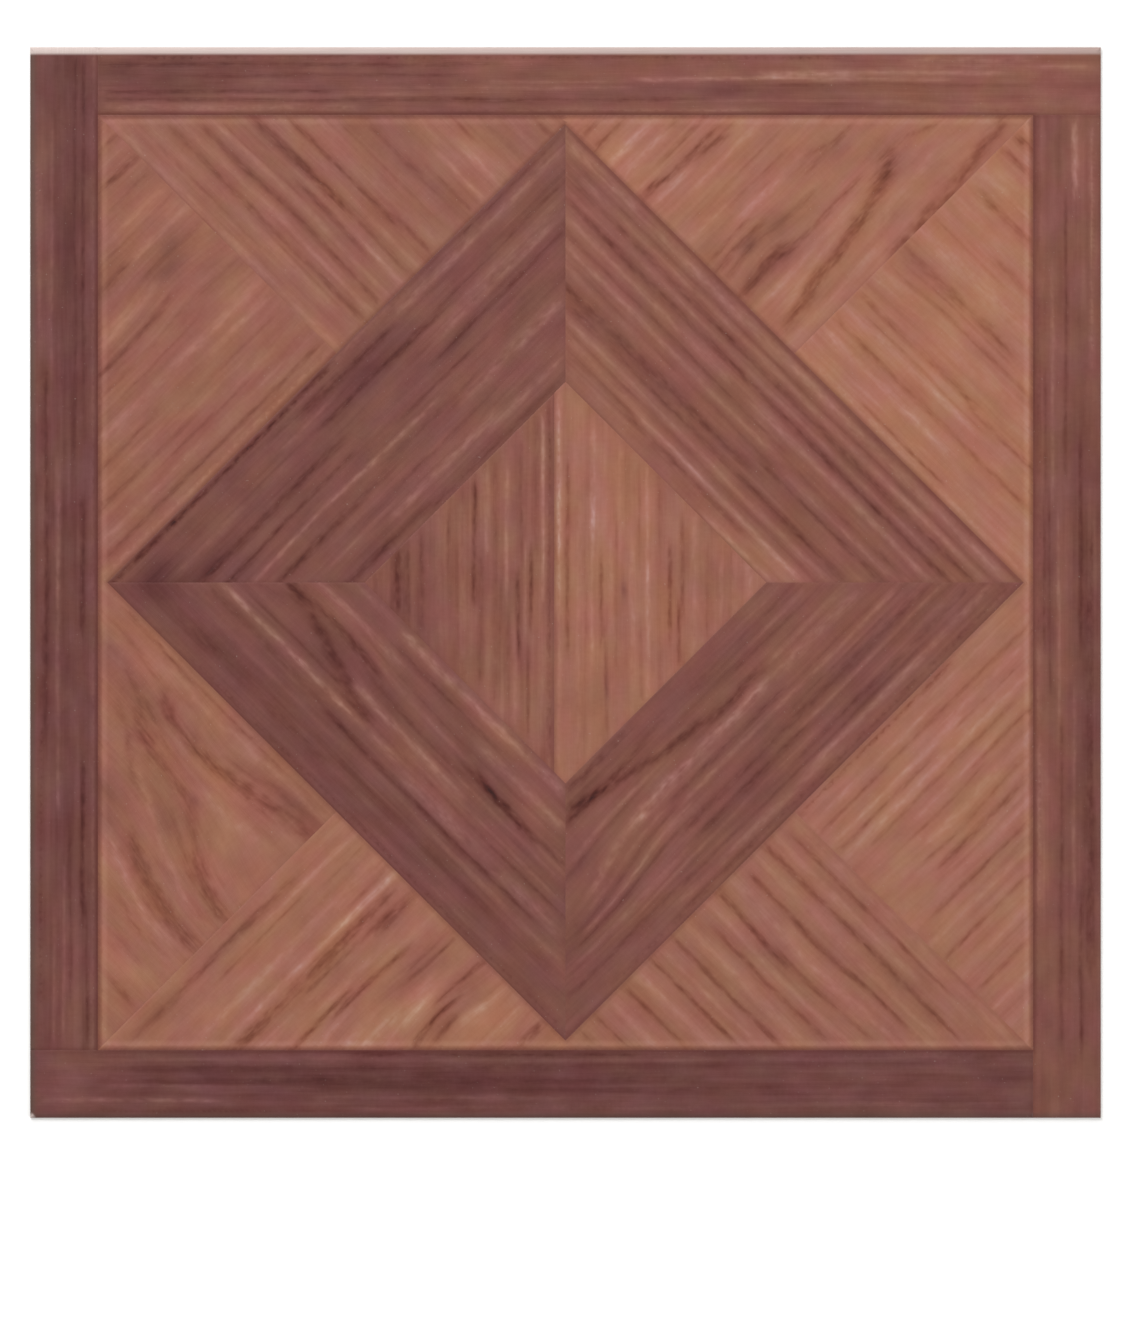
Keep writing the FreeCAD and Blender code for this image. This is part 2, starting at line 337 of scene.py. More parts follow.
figure("end_top_right", 0.8, 0.03, 1.55, streaks=[
    (3.4, 93, 132, 1.6, 8), (16.4, 96, 126, 1.3, 10), (22.4, 93, 112, 2.0, -18), (21.0, 108, 140, 1.4, -12),
    (22.6, 132, 160, 1.2, 6), (28.2, 93, 130, 1.2, -8), (31.8, 93, 112, 1.4, -15), (34.2, 130, 150, 1.2, -9),
    (35.4, 93, 110, 1.0, -13), (38.4, 108, 134, 1.6, 12), (42.6, 108, 132, 0.9, -7), (43.6, 93, 110, 1.4, 12),
    (47.4, 96, 136, 0.7, -6), (53.4, 106, 132, 1.5, 12), (58.4, 93, 110, 1.1, 18), (58.6, 108, 126, 1.0, -11),
    (61.2, 93, 122, 0.9, -16), (64.0, 93, 108, 0.8, 7), (65.6, 104, 122, 0.9, -11), (70.2, 93, 112, 1.6, 14),
    (70.8, 110, 117, 1.0, -12), (75.6, 93, 110, 1.8, 14), (81.2, 93, 106, 1.2, -16), (86.6, 93, 100, 1.2, -16),
], strokes=[
    ([(96, 7.0), (108, 9.4), (118, 11.2), (130, 13.0), (140, 15.6), (152, 20.4)], 2.5, -19),
    ([(131, 0.2), (148, 1.0), (157, 1.1), (164, 2.0), (174, 4.0), (182, 5.8)], 2.4, -17),
    ([(100, 10.6), (112, 13.8), (124, 15.2)], 1.2, 9), ([(130, 7.4), (144, 10.4), (160, 11.8)], 1.9, 9),
    ([(146, 22.0), (158, 20.6), (168, 17.4)], 1.0, -8), ([(118, 40.0), (130, 38.0), (142, 34.6)], 1.0, -8),
    ([(94, 62.4), (106, 60.6), (122, 57.4)], 1.1, -15),
], blots=[
    (105, 31, 3.5, 2.2, -18), (114, 29, 6, 3.4, -10), (108, 22, 6, 3.0, -10), (99, 23, 5, 2.6, -10),
    (104, 28, 11, 8, -4), (96, 39, 5, 3.0, -8), (128, 18, 16, 4, 4), (116, 19, 6, 5, -6), (126, 28, 12, 5, -4),
    (106, 15, 10, 3, 5), (141, 33, 5, 3.0, -12), (150, 18, 7, 3.4, -9), (150, 25, 5, 3.0, -9),
    (98, 75, 7, 4, 6),
], bulges=[(150, 12, 34, 12, 3.0), (106, 29, 9, 6, 2.0)])
figure("end_bottom_right", 0.72, -0.02, 1.6, streaks=[
    (2.0, 93, 180, 1.4, 8), (5.4, 96, 160, 1.0, -11), (9.0, 93, 150, 1.3, 10), (12.6, 93, 170, 1.2, -14),
    (17.0, 93, 166, 1.5, 8), (21.4, 96, 140, 1.1, -15), (20.6, 136, 164, 0.9, -9), (26.0, 93, 156, 1.7, 11),
    (31.4, 93, 120, 1.3, -16), (30.2, 118, 154, 1.1, -10), (35.4, 93, 150, 1.1, 9), (39.6, 100, 146, 1.3, -12),
    (44.8, 93, 140, 1.8, 10), (50.0, 93, 136, 1.1, -13), (54.4, 93, 130, 1.2, 8), (58.6, 93, 126, 1.0, -15),
    (64.0, 93, 122, 1.7, 11), (69.4, 93, 116, 1.1, -11), (75.2, 93, 112, 1.7, 9), (81.0, 93, 105, 1.2, -12),
    (87.0, 93, 99, 1.3, -9),
], blots=[(120, 34, 10, 3, -7), (150, 14, 10, 3, -6)], bulges=[(126, 30, 18, 9, 1.8)])
figure("end_bottom_left", 0.775, 0.04, 1.5, streaks=[
    (4.8, 112, 178, 1.6, -10), (8.0, 93, 132, 1.2, 11), (12.6, 93, 110, 1.0, -8), (10.4, 116, 150, 0.6, -8),
    (18.0, 93, 166, 2.2, 9), (21.8, 93, 110, 0.9, -6), (24.0, 93, 160, 1.3, 15), (27.4, 98, 164, 2.2, -18),
    (30.8, 100, 134, 1.0, -13), (32.4, 93, 108, 2.0, -19), (32.8, 128, 156, 1.6, 8), (36.8, 110, 136, 1.4, 8),
    (40.0, 93, 110, 1.3, 8), (39.2, 126, 150, 1.1, -16), (41.8, 106, 134, 1.3, -16), (44.0, 130, 144, 1.5, 10),
    (46.6, 93, 110, 0.9, -10), (49.2, 93, 112, 0.8, -13), (49.8, 126, 138, 2.0, 13), (53.4, 106, 134, 1.9, 13),
    (57.2, 110, 130, 1.4, 11), (59.8, 93, 110, 1.2, -20), (64.0, 106, 124, 1.4, -22), (69.8, 93, 110, 1.8, 11),
    (68.2, 108, 119, 0.9, -12), (76.4, 93, 110, 1.8, 12), (84.2, 93, 103, 1.6, -19),
], blots=[
    (102, 33, 5, 2.6, -6), (100, 60, 7, 7, -8), (110, 54, 6, 4, 5), (160, 10, 14, 8, -4),
    (114, 64, 6, 3.0, -10), (138, 5, 9, 2.4, -9), (118, 24.6, 16, 2.2, 6), (108, 48, 10, 3.4, -9),
    (104, 73, 8, 5, 8), (114, 56, 8, 3.4, 8), (136, 52, 8, 3.4, 7), (170, 6, 9, 4, -7), (150, 13, 14, 4, 5),
    (132, 32, 14, 2.6, -6),
], bulges=[(112, 64, 12, 7, -3.0), (128, 46, 16, 7, -1.6)])

# %% Dark boards of the ring
figure("ring_top_left", 0.39, -0.03, 1.4, streaks=[
    (43.4, -44, -14, 1.3, -12), (41.8, -14, 41, 1.0, -9), (45.8, 16, 45, 1.4, 10), (48.0, -22, 22, 2.0, 12),
    (53.0, -14, 24, 0.9, -8), (57.4, 16, 57, 2.2, 13), (57.6, -57, -12, 1.5, -14), (60.0, -12, 30, 1.2, -7),
    (62.6, -62, 12, 0.9, 18), (65.8, -2, 34, 0.8, -12), (68.0, -68, -18, 1.0, -15), (69.0, -10, 20, 0.9, 5),
    (71.2, 18, 71, 1.0, -11), (73.4, -73, -16, 1.7, -15), (79.4, 8, 30, 0.9, -12), (76.6, 26, 76, 2.6, 7),
    (80.0, -76, -30, 1.2, 6), (81.0, 28, 80, 0.8, -8), (86.6, -20, 16, 1.4, -12), (88.2, 20, 88, 2.2, 12),
    (91.0, -92, -4, 0.8, -24), (90.8, 46, 90, 0.6, -10), (91.2, -4, 22, 0.8, 12), (50.6, -48, -20, 0.7, 6),
    (80.4, -18, 24, 1.0, -12), (83.8, -30, -8, 0.8, 11), (87.8, -30, -4, 0.8, -10), (74.8, 22, 70, 1.2, 8),
], blots=[
    (-84, 83, 7, 5.0, -18), (-76, 79, 8, 7, -9), (-78, 84, 6, 4, -7), (-66, 68, 6, 4, -10),
    (2, 82, 15, 4.6, -14), (2, 50.5, 12, 2.6, 7), (-42, 80, 11, 3, -6), (-24, 56, 14, 3, 6), (32, 65, 10, 5, 5),
    (42, 50, 6, 4, 5), (-30, 62.6, 10, 2, -5), (22, 60, 10, 4, 5), (-56, 49, 3, 6, 8), (52, 79, 18, 4, 4),
    (-36, 61.8, 26, 1.6, 4), (-44, 75, 22, 4, -5), (-68, 75, 9, 1.8, -16), (2, 53.4, 8, 1.0, 9),
    (-40, 88, 20, 2.0, -6), (26, 70, 6, 1.0, -8), (-40, 44, 20, 2.4, -6), (36, 70, 26, 2.4, -5),
], bulges=[(-30, 64, 22, 8, 0.9)])
figure("ring_top_right", 0.545, 0.0, 1.0, streaks=[
    (45.4, -22, 26, 1.3, -18), (43.6, -43, -16, 1.2, 8), (41.6, 14, 41, 1.0, 16), (47.8, -20, 47, 1.1, 19),
    (46.6, -46, -18, 0.9, -9), (49.4, -49, -16, 1.0, 9), (51.2, -51, 51, 0.8, -7), (53.2, -53, 53, 1.0, 10),
    (56.4, -56, 56, 1.5, -16), (58.4, -4, 58, 0.7, 4), (60.0, -62, 14, 1.7, -18), (62.2, -10, 20, 0.7, 6),
    (63.6, 16, 63, 1.0, -18), (63.4, -62, -20, 1.0, 5), (65.0, -64, 18, 0.9, -8), (66.2, 22, 66, 1.0, 12),
    (67.8, -67, 20, 1.0, 15), (69.0, 22, 69, 0.9, -13), (70.6, -70, 18, 0.9, -13), (73.8, -73, 73, 1.3, 14),
    (77.3, -77, 77, 1.5, -20), (79.6, -79, 79, 0.9, 9), (82.2, -82, 82, 1.3, -18), (84.6, -84, 84, 1.0, 12),
    (86.4, -86, 86, 0.7, -8), (89.0, -88, 88, 1.4, 17), (91.5, -91, 91, 0.6, -8), (58.6, -58, -20, 1.0, -8),
], blots=[
    (41, 44.5, 12, 5.0, 15), (24, 43.6, 14, 3, 16), (-29, 43, 10, 3, 9), (-6, 47, 16, 5, 9),
    (10, 62, 12, 3, -7), (52, 74, 12, 3, -7), (-78, 86, 6, 3, -7), (68, 86, 10, 3, 6), (-40, 52, 16, 3.5, 6),
    (-20, 59.5, 44, 2.6, -7), (40, 56.5, 20, 2, -5), (30, 65, 30, 2, -5), (46, 78, 24, 3, -5),
    (-64, 69, 8, 5, 4), (66, 63, 6, 3, -9), (74, 70, 7, 2, -7), (-86, 72, 6, 16, -7), (-84, 88, 6, 2, 6),
], bulges=[(-10, 46, 22, 5, 0.7)])
figure("ring_bottom_right", 0.455, 0.02, 1.25, streaks=[
    (42.4, 16, 42, 1.6, -14), (44.0, -44, -16, 1.4, 7), (48.6, 18, 48, 1.4, -16), (47.0, -46, 20, 1.0, -6),
    (49.4, -49, -18, 1.2, 6), (51.8, -50, -14, 0.8, -7), (55.4, 20, 55, 1.4, 7), (57.0, -54, -18, 1.0, 6),
    (60.8, -58, 36, 2.2, 11), (62.6, 18, 60, 1.2, 7), (65.2, -22, 24, 1.2, -13), (65.0, 24, 64, 0.9, 8),
    (66.2, -62, -22, 0.8, -7), (67.9, -64, 20, 1.0, 12), (67.0, 22, 62, 0.8, -10), (69.6, 20, 66, 1.0, 14),
    (70.8, -68, -20, 0.7, -7), (73.6, -73, 26, 1.8, -12), (76.4, -76, -16, 0.9, 11), (77.4, -20, 24, 1.3, -13),
    (72.4, 26, 70, 0.9, -10), (80.4, -80, 80, 0.8, 6), (82.2, -82, -10, 1.0, -11), (84.6, -60, 40, 0.8, -8),
    (86.4, -86, -14, 1.5, 12), (87.6, -18, 40, 1.3, 10), (90.2, -90, 70, 1.0, -11), (77.6, 30, 76, 1.2, 8),
    (83.8, 34, 82, 1.2, -10), (56.6, 24, 56, 0.7, -8),
], strokes=[
    ([(-24, 56.4), (-6, 56.8), (10, 54.6), (22, 51.8), (34, 50.0), (46, 46.8)], 1.7, -20),
    ([(-22, 60.2), (0, 60.6), (24, 61.2), (42, 63.4), (58, 67.6)], 1.3, 11),
], blots=[
    (38, 47, 9, 3.0, -6), (-10, 48, 28, 5.0, -6), (26, 71, 12, 4, 6), (68, 76, 11, 8, -9), (81, 88, 8, 6, -8),
    (-36, 80, 13, 3.4, -7), (18, 80, 9, 3, -5), (-54, 86, 10, 3, 6), (-46, 91, 14, 2, 5), (-34, 58, 22, 3, 6),
    (0, 83, 9, 8, -7), (-42, 83.4, 16, 2.2, -9), (24, 56, 14, 2.4, 7), (-8, 69, 9, 3, -6),
    (-38, 73.6, 18, 1.8, -6), (40, 62, 16, 3, 6), (-52, 68, 12, 4, 4), (56, 60, 10, 1.6, -10),
    (-10, 88, 30, 3, 4),
], bulges=[(66, 70, 26, 8, 6.0), (62, 58, 20, 6, 2.0)])
figure("ring_bottom_left", 0.385, -0.05, 1.25, streaks=[
    (42.8, -42, 22, 1.8, 18), (42.6, 18, 42, 1.4, 8), (47.4, -20, 22, 1.3, -9), (50.0, -49, -16, 2.0, 12),
    (50.6, 16, 50, 2.0, 12), (55.6, -18, 22, 1.2, 7), (57.2, -57, -16, 1.3, -12), (57.8, 18, 57, 2.0, -16),
    (59.6, -20, 20, 1.0, -9), (61.2, -60, -18, 1.0, 8), (63.6, -22, 22, 1.3, 14), (62.6, 52, 62, 1.4, -6),
    (65.4, -65, -16, 0.9, 8), (67.8, -67, 22, 0.9, -9), (69.4, 18, 69, 1.1, 15), (71.8, -70, -6, 2.4, 12),
    (69.8, -2, 66, 1.3, 11), (72.8, 18, 72, 1.2, -9), (74.4, -64, 22, 1.1, -14), (77.6, -77, -16, 1.1, 7),
    (78.0, 10, 78, 1.0, 4), (81.2, -80, 20, 1.6, -5), (84.4, 14, 84, 2.2, -7), (88.4, -60, -10, 1.0, 5),
    (90.4, -90, 60, 0.8, -9), (66.2, 26, 60, 0.7, -7), (53.2, -50, 30, 0.8, -6),
], strokes=[
    ([(12, 66.6), (26, 63.6), (40, 59.2), (54, 56.0)], 2.0, -19),
    ([(-46, 58.6), (-34, 58.0), (-20, 55.2)], 1.5, -16),
], blots=[
    (-18, 43.6, 12, 3, 13), (-44, 56, 9, 4, 10), (-12, 68, 22, 3.4, 11), (42, 62, 8, 3, 5), (-54, 78, 14, 4, 7),
    (-78, 81, 6, 4, 6), (58, 82, 14, 5, -6), (82, 83, 8, 7.5, -16), (0, 83, 76, 8, -7), (40, 51.5, 11, 3.0, 12),
    (-10, 65, 12, 3.6, 8), (-33, 57.6, 14, 2.4, -9), (36, 62, 11, 4.4, -9), (-38, 52, 14, 3.4, 9),
    (18, 52.5, 15, 3, 6), (0, 44.4, 26, 2.8, 8), (-74, 79.6, 12, 2.2, 6), (-68, 62, 5, 10, -7),
    (-34, 48, 14, 3, 7),
], bulges=[(40, 56, 24, 7, -3.5)])

# %% Centre boards
figure("centre_left", 0.56, -0.02, 1.1, streaks=[
    (-54.0, -3, 4, 2.0, -9), (-48.0, -8, 10, 1.8, -20), (-44.8, -12, 12, 1.2, -12), (-41.0, -14, 14, 1.4, -12),
    (-36.2, -18, 18, 1.4, 6), (-33.4, 4, 20, 0.9, -17), (-33.0, -18, 4, 1.0, -5), (-29.2, -26, 24, 1.2, 7),
    (-26.0, -6, 28, 0.9, -26), (-24.2, -28, 8, 1.3, -11), (-22.4, 8, 32, 1.1, 15), (-22.2, -30, -8, 1.0, 6),
    (-20.0, -34, 34, 1.0, -9), (-16.8, -4, 32, 0.8, 19), (-16.4, -36, -10, 1.0, -8), (-14.4, -40, -16, 0.9, 10),
    (-13.4, -20, 2, 0.8, -36), (-12.6, 8, 40, 1.0, -9), (-11.4, -14, 12, 0.6, 11), (-9.8, -12, 10, 0.7, -26),
    (-10.6, -44, -18, 0.7, -10), (-8.2, 6, 46, 0.9, -10), (-6.4, -6, 48, 0.7, 22), (-6.6, -46, -12, 0.8, 6),
    (-4.6, -50, 50, 0.7, -18), (-18.6, -32, 0, 0.6, -8), (-30.8, -20, 10, 0.6, -8),
], blots=[
    (-3, -48, 14, 9, -12), (-15, -41, 10, 7, -7), (24, -21, 10, 3, 5), (-36, -18, 10, 7, 7),
    (0, -8, 44, 3.4, 6), (6, -38, 14, 7, -6), (-22, -35, 8, 7, -6), (-6, -16, 8, 4, -6),
])
figure("centre_right", 0.755, 0.04, 1.25, streaks=[
    (-2.0, -10, 52, 1.0, 17), (-1.8, -50, -14, 1.0, 6), (0.6, -20, 34, 0.8, -14), (3.6, -50, 50, 1.2, 6),
    (5.6, -30, 20, 0.6, -6), (7.6, -22, 24, 0.9, 12), (8.0, 14, 46, 1.4, 9), (10.2, -18, 8, 0.8, -13),
    (11.6, -44, -12, 0.8, -9), (12.8, -14, 14, 1.0, 9), (15.6, 6, 40, 1.0, 7), (14.4, -24, 20, 0.6, -7),
    (19.0, -30, 12, 1.4, 9), (21.4, -36, -10, 0.8, -8), (21.0, 6, 34, 0.7, -6), (23.4, -32, 32, 0.9, 14),
    (26.8, -28, 28, 0.8, -5), (29.6, -16, 10, 0.9, -17), (32.2, -22, -6, 0.8, -15), (33.2, -10, 18, 0.9, -11),
    (36.6, -20, 20, 1.3, 7), (40.4, -16, 12, 0.8, -6), (44.4, -12, 8, 0.9, 10), (47.0, -10, 10, 1.2, -7),
    (52.6, -5, 5, 1.6, 12),
], blots=[
    (-2, 16.6, 2.6, 0.9, -20), (-30, 11.8, 4, 0.7, -14), (34, 30, 14, 6, -7), (-36, 7, 12, 12, -4),
    (-2, 43, 13, 7, -6), (18, 41, 7, 5, -9), (6, 34, 14, 5, -5), (20, 24, 7, 5, 5), (18, 14, 8, 6, 5),
])
print("hand-set streaks:", sum(len(board.streaks) for board in boards))

# %% [markdown]
# ## Where the grain runs
# The grain lines of a board are nearly straight, and each bulge bends them aside, as they go round a knot or
# swell over a growth of the trunk. The bent place across the grain is kept for the materials in a UV map, so
# that their fine lines follow the same bends.

# %% Bend the grain
def grain_place(board, across, along):
    """The place across the grain lines: across, less each bulge's lift times a bell curve in both directions."""
    bent = across
    for *shape_of_bulge, lift in board.bulges:
        bent = bent - lift * oval(along, across, *shape_of_bulge)
    return bent


def soft_step(value):
    """Rises from 0 to 1 as the value goes from 0 to 1: three times its square less twice its cube."""
    held = np.clip(value, 0, 1)
    return held * held * (3 - 2 * held)


noise_period = 61


def value_noise(across, along, seed):
    """Seeded random values at whole-number places, blended between them by soft_step. From 0 to 1. The table of
    values is used over and over, so it is wide enough for that not to show."""
    table = np.random.default_rng(seed).random((noise_period, noise_period))
    column, row = np.floor(across).astype(int), np.floor(along).astype(int)
    right, up = soft_step(across - column), soft_step(along - row)
    here, next_column = column % noise_period, (column + 1) % noise_period
    near_row, far_row = row % noise_period, (row + 1) % noise_period
    near = table[here, near_row] * (1 - right) + table[next_column, near_row] * right
    far = table[here, far_row] * (1 - right) + table[next_column, far_row] * right
    return near * (1 - up) + far * up


streak_fade = 7.0
patch_length = 6.0
weakest, patch_range = 0.65, 0.7
bell_steepness = 1.8


def faded(board, number, along, start, end):
    """How strong a streak is at each place along it: it fades in and out at its ends, and varies by seeded
    noise in between, as the print of a real board does."""
    ends = soft_step((along - start) / streak_fade + 0.5) * soft_step((end - along) / streak_fade + 0.5)
    patches = value_noise(along / patch_length + 3.7 * number, np.zeros_like(along), board.quarter)
    return ends * (weakest + patch_range * patches)


def bell(distance, width):
    """A bell curve across a streak: one in its middle, and half at a good three fifths of its width."""
    return np.exp(-bell_steepness * (distance / width) ** 2)


def oval(along, across, at_along, at_across, length, breadth):
    """A bell curve in both directions: one at its own place, and fading over its length and its breadth."""
    return np.exp(-((along - at_along) / length) ** 2 - ((across - at_across) / breadth) ** 2)


def streak_drift(along, number):
    """How far a streak wanders aside: a long, weak wave and a shorter, weaker one, in step with no other."""
    return 0.13 * np.sin(along / 12.5 + 2.3 * number) + 0.06 * np.sin(along / 4.7 + 1.1 * number)


def stroke_drift(board, along, number):
    """How far a stroke wanders aside: a short wave, and seeded noise that makes its sides uneven."""
    rough = value_noise(along / 2.9 + 5.1 * number, np.zeros_like(along), 60 + board.quarter) - 0.5
    return 0.25 * np.sin(along / 3.1 + number) + 1.1 * rough


stroke_overrun = 5.0
streak_numbers = 40
light_board_pale_share = 0.7


def board_tone(board, across, along):
    """The board's tone, and its ground, which is the mean with an oval bell for each blot. The tone adds a bell
    curve across the grain for each streak, drifting a little from side to side, and the same beside the cubic
    curve through each stroke. In the light boards the pale streaks show less than the dark ones."""
    place = grain_place(board, across, along)
    tone = np.zeros_like(place)
    for number, (at, start, end, width, change) in enumerate(board.streaks):
        off = place - at - streak_drift(along, number)
        tone += change * faded(board, number, along, start, end) * bell(off, width)
    for number, (path, width, change) in enumerate(board.strokes):
        at_along, at_across = np.array(path).T
        curve = np.poly1d(np.polyfit(at_along, at_across, min(3, len(path) - 1)))
        held = np.clip(along, at_along[0] - stroke_overrun, at_along[-1] + stroke_overrun)
        off = (across - curve(held)) / np.hypot(1, curve.deriv()(held)) + stroke_drift(board, along, number)
        fading = faded(board, number + streak_numbers, along, at_along[0], at_along[-1])
        tone += change * fading * bell(off, width)
    pale_share = light_board_pale_share if board.kind in ("side", "end") else 1.0
    tone = np.where(tone > 0, pale_share * tone, tone)
    ground = np.zeros_like(place)
    for *shape_of_blot, change in board.blots:
        ground += change * oval(along, across, *shape_of_blot)
    ground = board.tone + board.contrast * ground / 100
    return ground + board.contrast * tone / 100, ground


# %% [markdown]
# ## The points of the face
# A mesh that carries streaks a millimetre wide needs points closer than that across the grain, but not along
# it. So each board gets its own lattice, narrow across the grain and long along it, which spends the triangles
# where they show. Rows of points follow each joint and the rolled edge, so that those stay crisp.

# %% Distance to the joints
def joint_distances(x, y):
    """Distance from each point to each joint: to the nearest spot of its line, found by projecting on it."""
    found = []
    for line in joints:
        run = line.end - line.start
        part = ((x - line.start[0]) * run[0] + (y - line.start[1]) * run[1]) / (run @ run)
        part = np.clip(part, 0, 1)
        found.append(np.hypot(x - line.start[0] - part * run[0], y - line.start[1] - part * run[1]))
    return np.array(found)


# %% Rows of points along the joints and the rolled edge
row_step = 1.6
inked_reach = 1.3
middle_row = 0.8
joint_offsets = [0.0]
for offset in (joint_width / 2, middle_row, inked_reach):
    joint_offsets += [offset, -offset]
points = []
edges = []


def add_row(x, y, joined):
    """Puts a row of points in the list, and the edges between them too if the row must stay a line."""
    first = sum(len(row) for row in points)
    points.append(np.column_stack([x, y]))
    if joined:
        number = np.arange(first, first + len(x) - 1)
        edges.append(np.column_stack([number, number + 1]))


for line in joints:
    run = line.end - line.start
    length = math.hypot(*run)
    part = np.linspace(0, 1, max(2, round(length / row_step)))
    for offset in joint_offsets:
        row_x = line.start[0] + part * run[0] - offset * run[1] / length
        row_y = line.start[1] + part * run[1] + offset * run[0] / length
        inside = np.maximum(abs(row_x), abs(row_y)) <= half_side
        add_row(row_x[inside], row_y[inside], abs(offset) <= joint_width / 2)

roll_turn = math.asin(roll_width / roll_radius)
roll_rows = 6
rows_before_roll = (1.3, 0.6)
reaches = [face_half + roll_radius * math.sin(turn) for turn in np.linspace(0, roll_turn, roll_rows + 1)]
reaches[-1] = half_side
before_roll = [face_half - gap for gap in rows_before_roll]
for reach in before_roll + reaches:
    walk = np.linspace(-reach, reach, round(print_width / row_step))
    for quarter in range(4):
        add_row(*quarter_turned(np.full_like(walk, -reach), walk, quarter), reach in (face_half, half_side))
print("rows:", len(points), "with", sum(len(row) for row in points), "points")

# %% Lattice of each board
# a cell is narrow across the grain, but where strokes cross the grain it is nearer to square
straight_cell = (0.43, 2.55)
curly_cell = (0.80, 1.36)
curly_boards = ["side_bottom_left", "end_top_right"]
lattice_end = 1.4 * half_side
for number, board in enumerate(boards):
    across_step, along_step = curly_cell if board.name in curly_boards else straight_cell
    across, along = np.meshgrid(
        np.arange(-half_side, lattice_end, across_step),
        np.arange(-half_side, lattice_end, along_step),
        indexing="ij",
    )
    x, y = from_board(board, across.ravel(), along.ravel())
    on_face = np.maximum(abs(x), abs(y)) < before_roll[0] - across_step / 2
    x, y = x[on_face], y[on_face]
    own = board_index(x, y) == number
    if board.sign:
        own &= to_board(board, x, y)[0 if board.kind == "end" else 1] > 0
    x, y = x[own], y[own]
    clear = joint_distances(x, y).min(axis=0) > inked_reach + across_step / 2
    add_row(x[clear], y[clear], False)
points = np.concatenate(points)
edges = np.concatenate(edges)
print("points:", len(points), "edges kept:", len(edges))

# %% [markdown]
# ## One closed mesh
# Blender's constrained Delaunay function joins the points into triangles and keeps the rows of the joints as
# edges. It works in the plane, and the heights come afterwards, from one formula for any point: the sheet's
# own section, less the V of the nearest joint, less the pressed pores.

# %% Join the face's points into triangles
def doubled_areas(places, corners):
    """Twice the area of each flat triangle, from the cross product of two sides. It is above 0 where the corners
    run anticlockwise, which makes the triangle face up."""
    first, second, third = (places[corners[:, number]] for number in range(3))
    one_side, other_side = second - first, third - first
    return one_side[:, 0] * other_side[:, 1] - one_side[:, 1] * other_side[:, 0]


same_point = 1e-5
flat, _, triangles, _, _, _ = delaunay_2d_cdt(points.tolist(), edges.tolist(), [], 0, same_point, False)
flat = np.array([tuple(corner) for corner in flat])
triangles = np.array(triangles)
doubled_area = doubled_areas(flat, triangles)
triangles = np.where(doubled_area[:, None] < 0, triangles[:, ::-1], triangles)
face_board = board_index(*flat[triangles].mean(axis=1).T)
print("face triangles:", len(triangles), "smallest area:", abs(doubled_area).min() / 2)

# %% Height of the face
pore_depth = 0.035
pore_width = 0.85
pore_length = 7.0
pore_threshold, pore_rise = 0.62, 0.3


def blank_height(x, y):
    """The sheet without joints: level, then down along an arc of the roll radius beside the nearest edge."""
    past = np.clip(np.maximum(abs(x), abs(y)) - face_half, 0, roll_width)
    return gauge - roll_radius + np.sqrt(roll_radius ** 2 - past ** 2)


def pore_press(x, y):
    """Depth of the pressed pores: value noise stretched along the grain, of which only the peaks are kept."""
    depth = np.zeros_like(x)
    index = board_index(x, y)
    for number, board in enumerate(boards):
        own = index == number
        across, along = to_board(board, x[own], y[own])
        place = grain_place(board, across, along)
        peaks = value_noise(place / pore_width + 7 * number, along / pore_length, 100 + number)
        depth[own] = pore_depth * soft_step((peaks - pore_threshold) / pore_rise)
    return depth


face_x, face_y = flat.T
nearest = joint_distances(face_x, face_y)
groove = joint_depth * np.clip(1 - nearest.min(axis=0) / (joint_width / 2), 0, 1)
level_part = soft_step((nearest.min(axis=0) - joint_width) / joint_width)
level_part *= soft_step((face_half - np.maximum(abs(face_x), abs(face_y))) / joint_width)
height = blank_height(face_x, face_y) - groove - level_part * pore_press(face_x, face_y)
print("heights from", height.min().round(3), "to", height.max().round(3))

# %% [markdown]
# The rim of the face is the loop of edges that only one triangle uses. The cut sides hang from that loop in a
# few rows down to the back, and the back is filled with a coarse lattice of its own, so the sheet is closed.

# %% Find the rim
corner_pairs = np.concatenate([triangles[:, [0, 1]], triangles[:, [1, 2]], triangles[:, [2, 0]]])
keys = corner_pairs.min(axis=1) * len(flat) + corner_pairs.max(axis=1)
_, where, count = np.unique(keys, return_index=True, return_counts=True)
rim_edges = corner_pairs[where[count == 1]]
after = dict(rim_edges.tolist())
rim = [int(rim_edges[0, 0])]
while after[rim[-1]] != rim[0]:
    rim.append(after[rim[-1]])
rim = np.array(rim)
print("rim:", len(rim), "points,", len(rim_edges), "edges")

# %% Hang the sides
side_rows = 3
shape = [np.column_stack([flat, height])]
side_triangles = []
upper = rim
for row in range(1, side_rows + 1):
    lower = np.arange(len(rim)) + len(flat) + (row - 1) * len(rim)
    shape.append(np.column_stack([flat[rim], height[rim] * (1 - row / side_rows)]))
    upper_next, lower_next = np.roll(upper, -1), np.roll(lower, -1)
    side_triangles.append(np.column_stack([upper, lower, lower_next]))
    side_triangles.append(np.column_stack([upper, lower_next, upper_next]))
    upper = lower

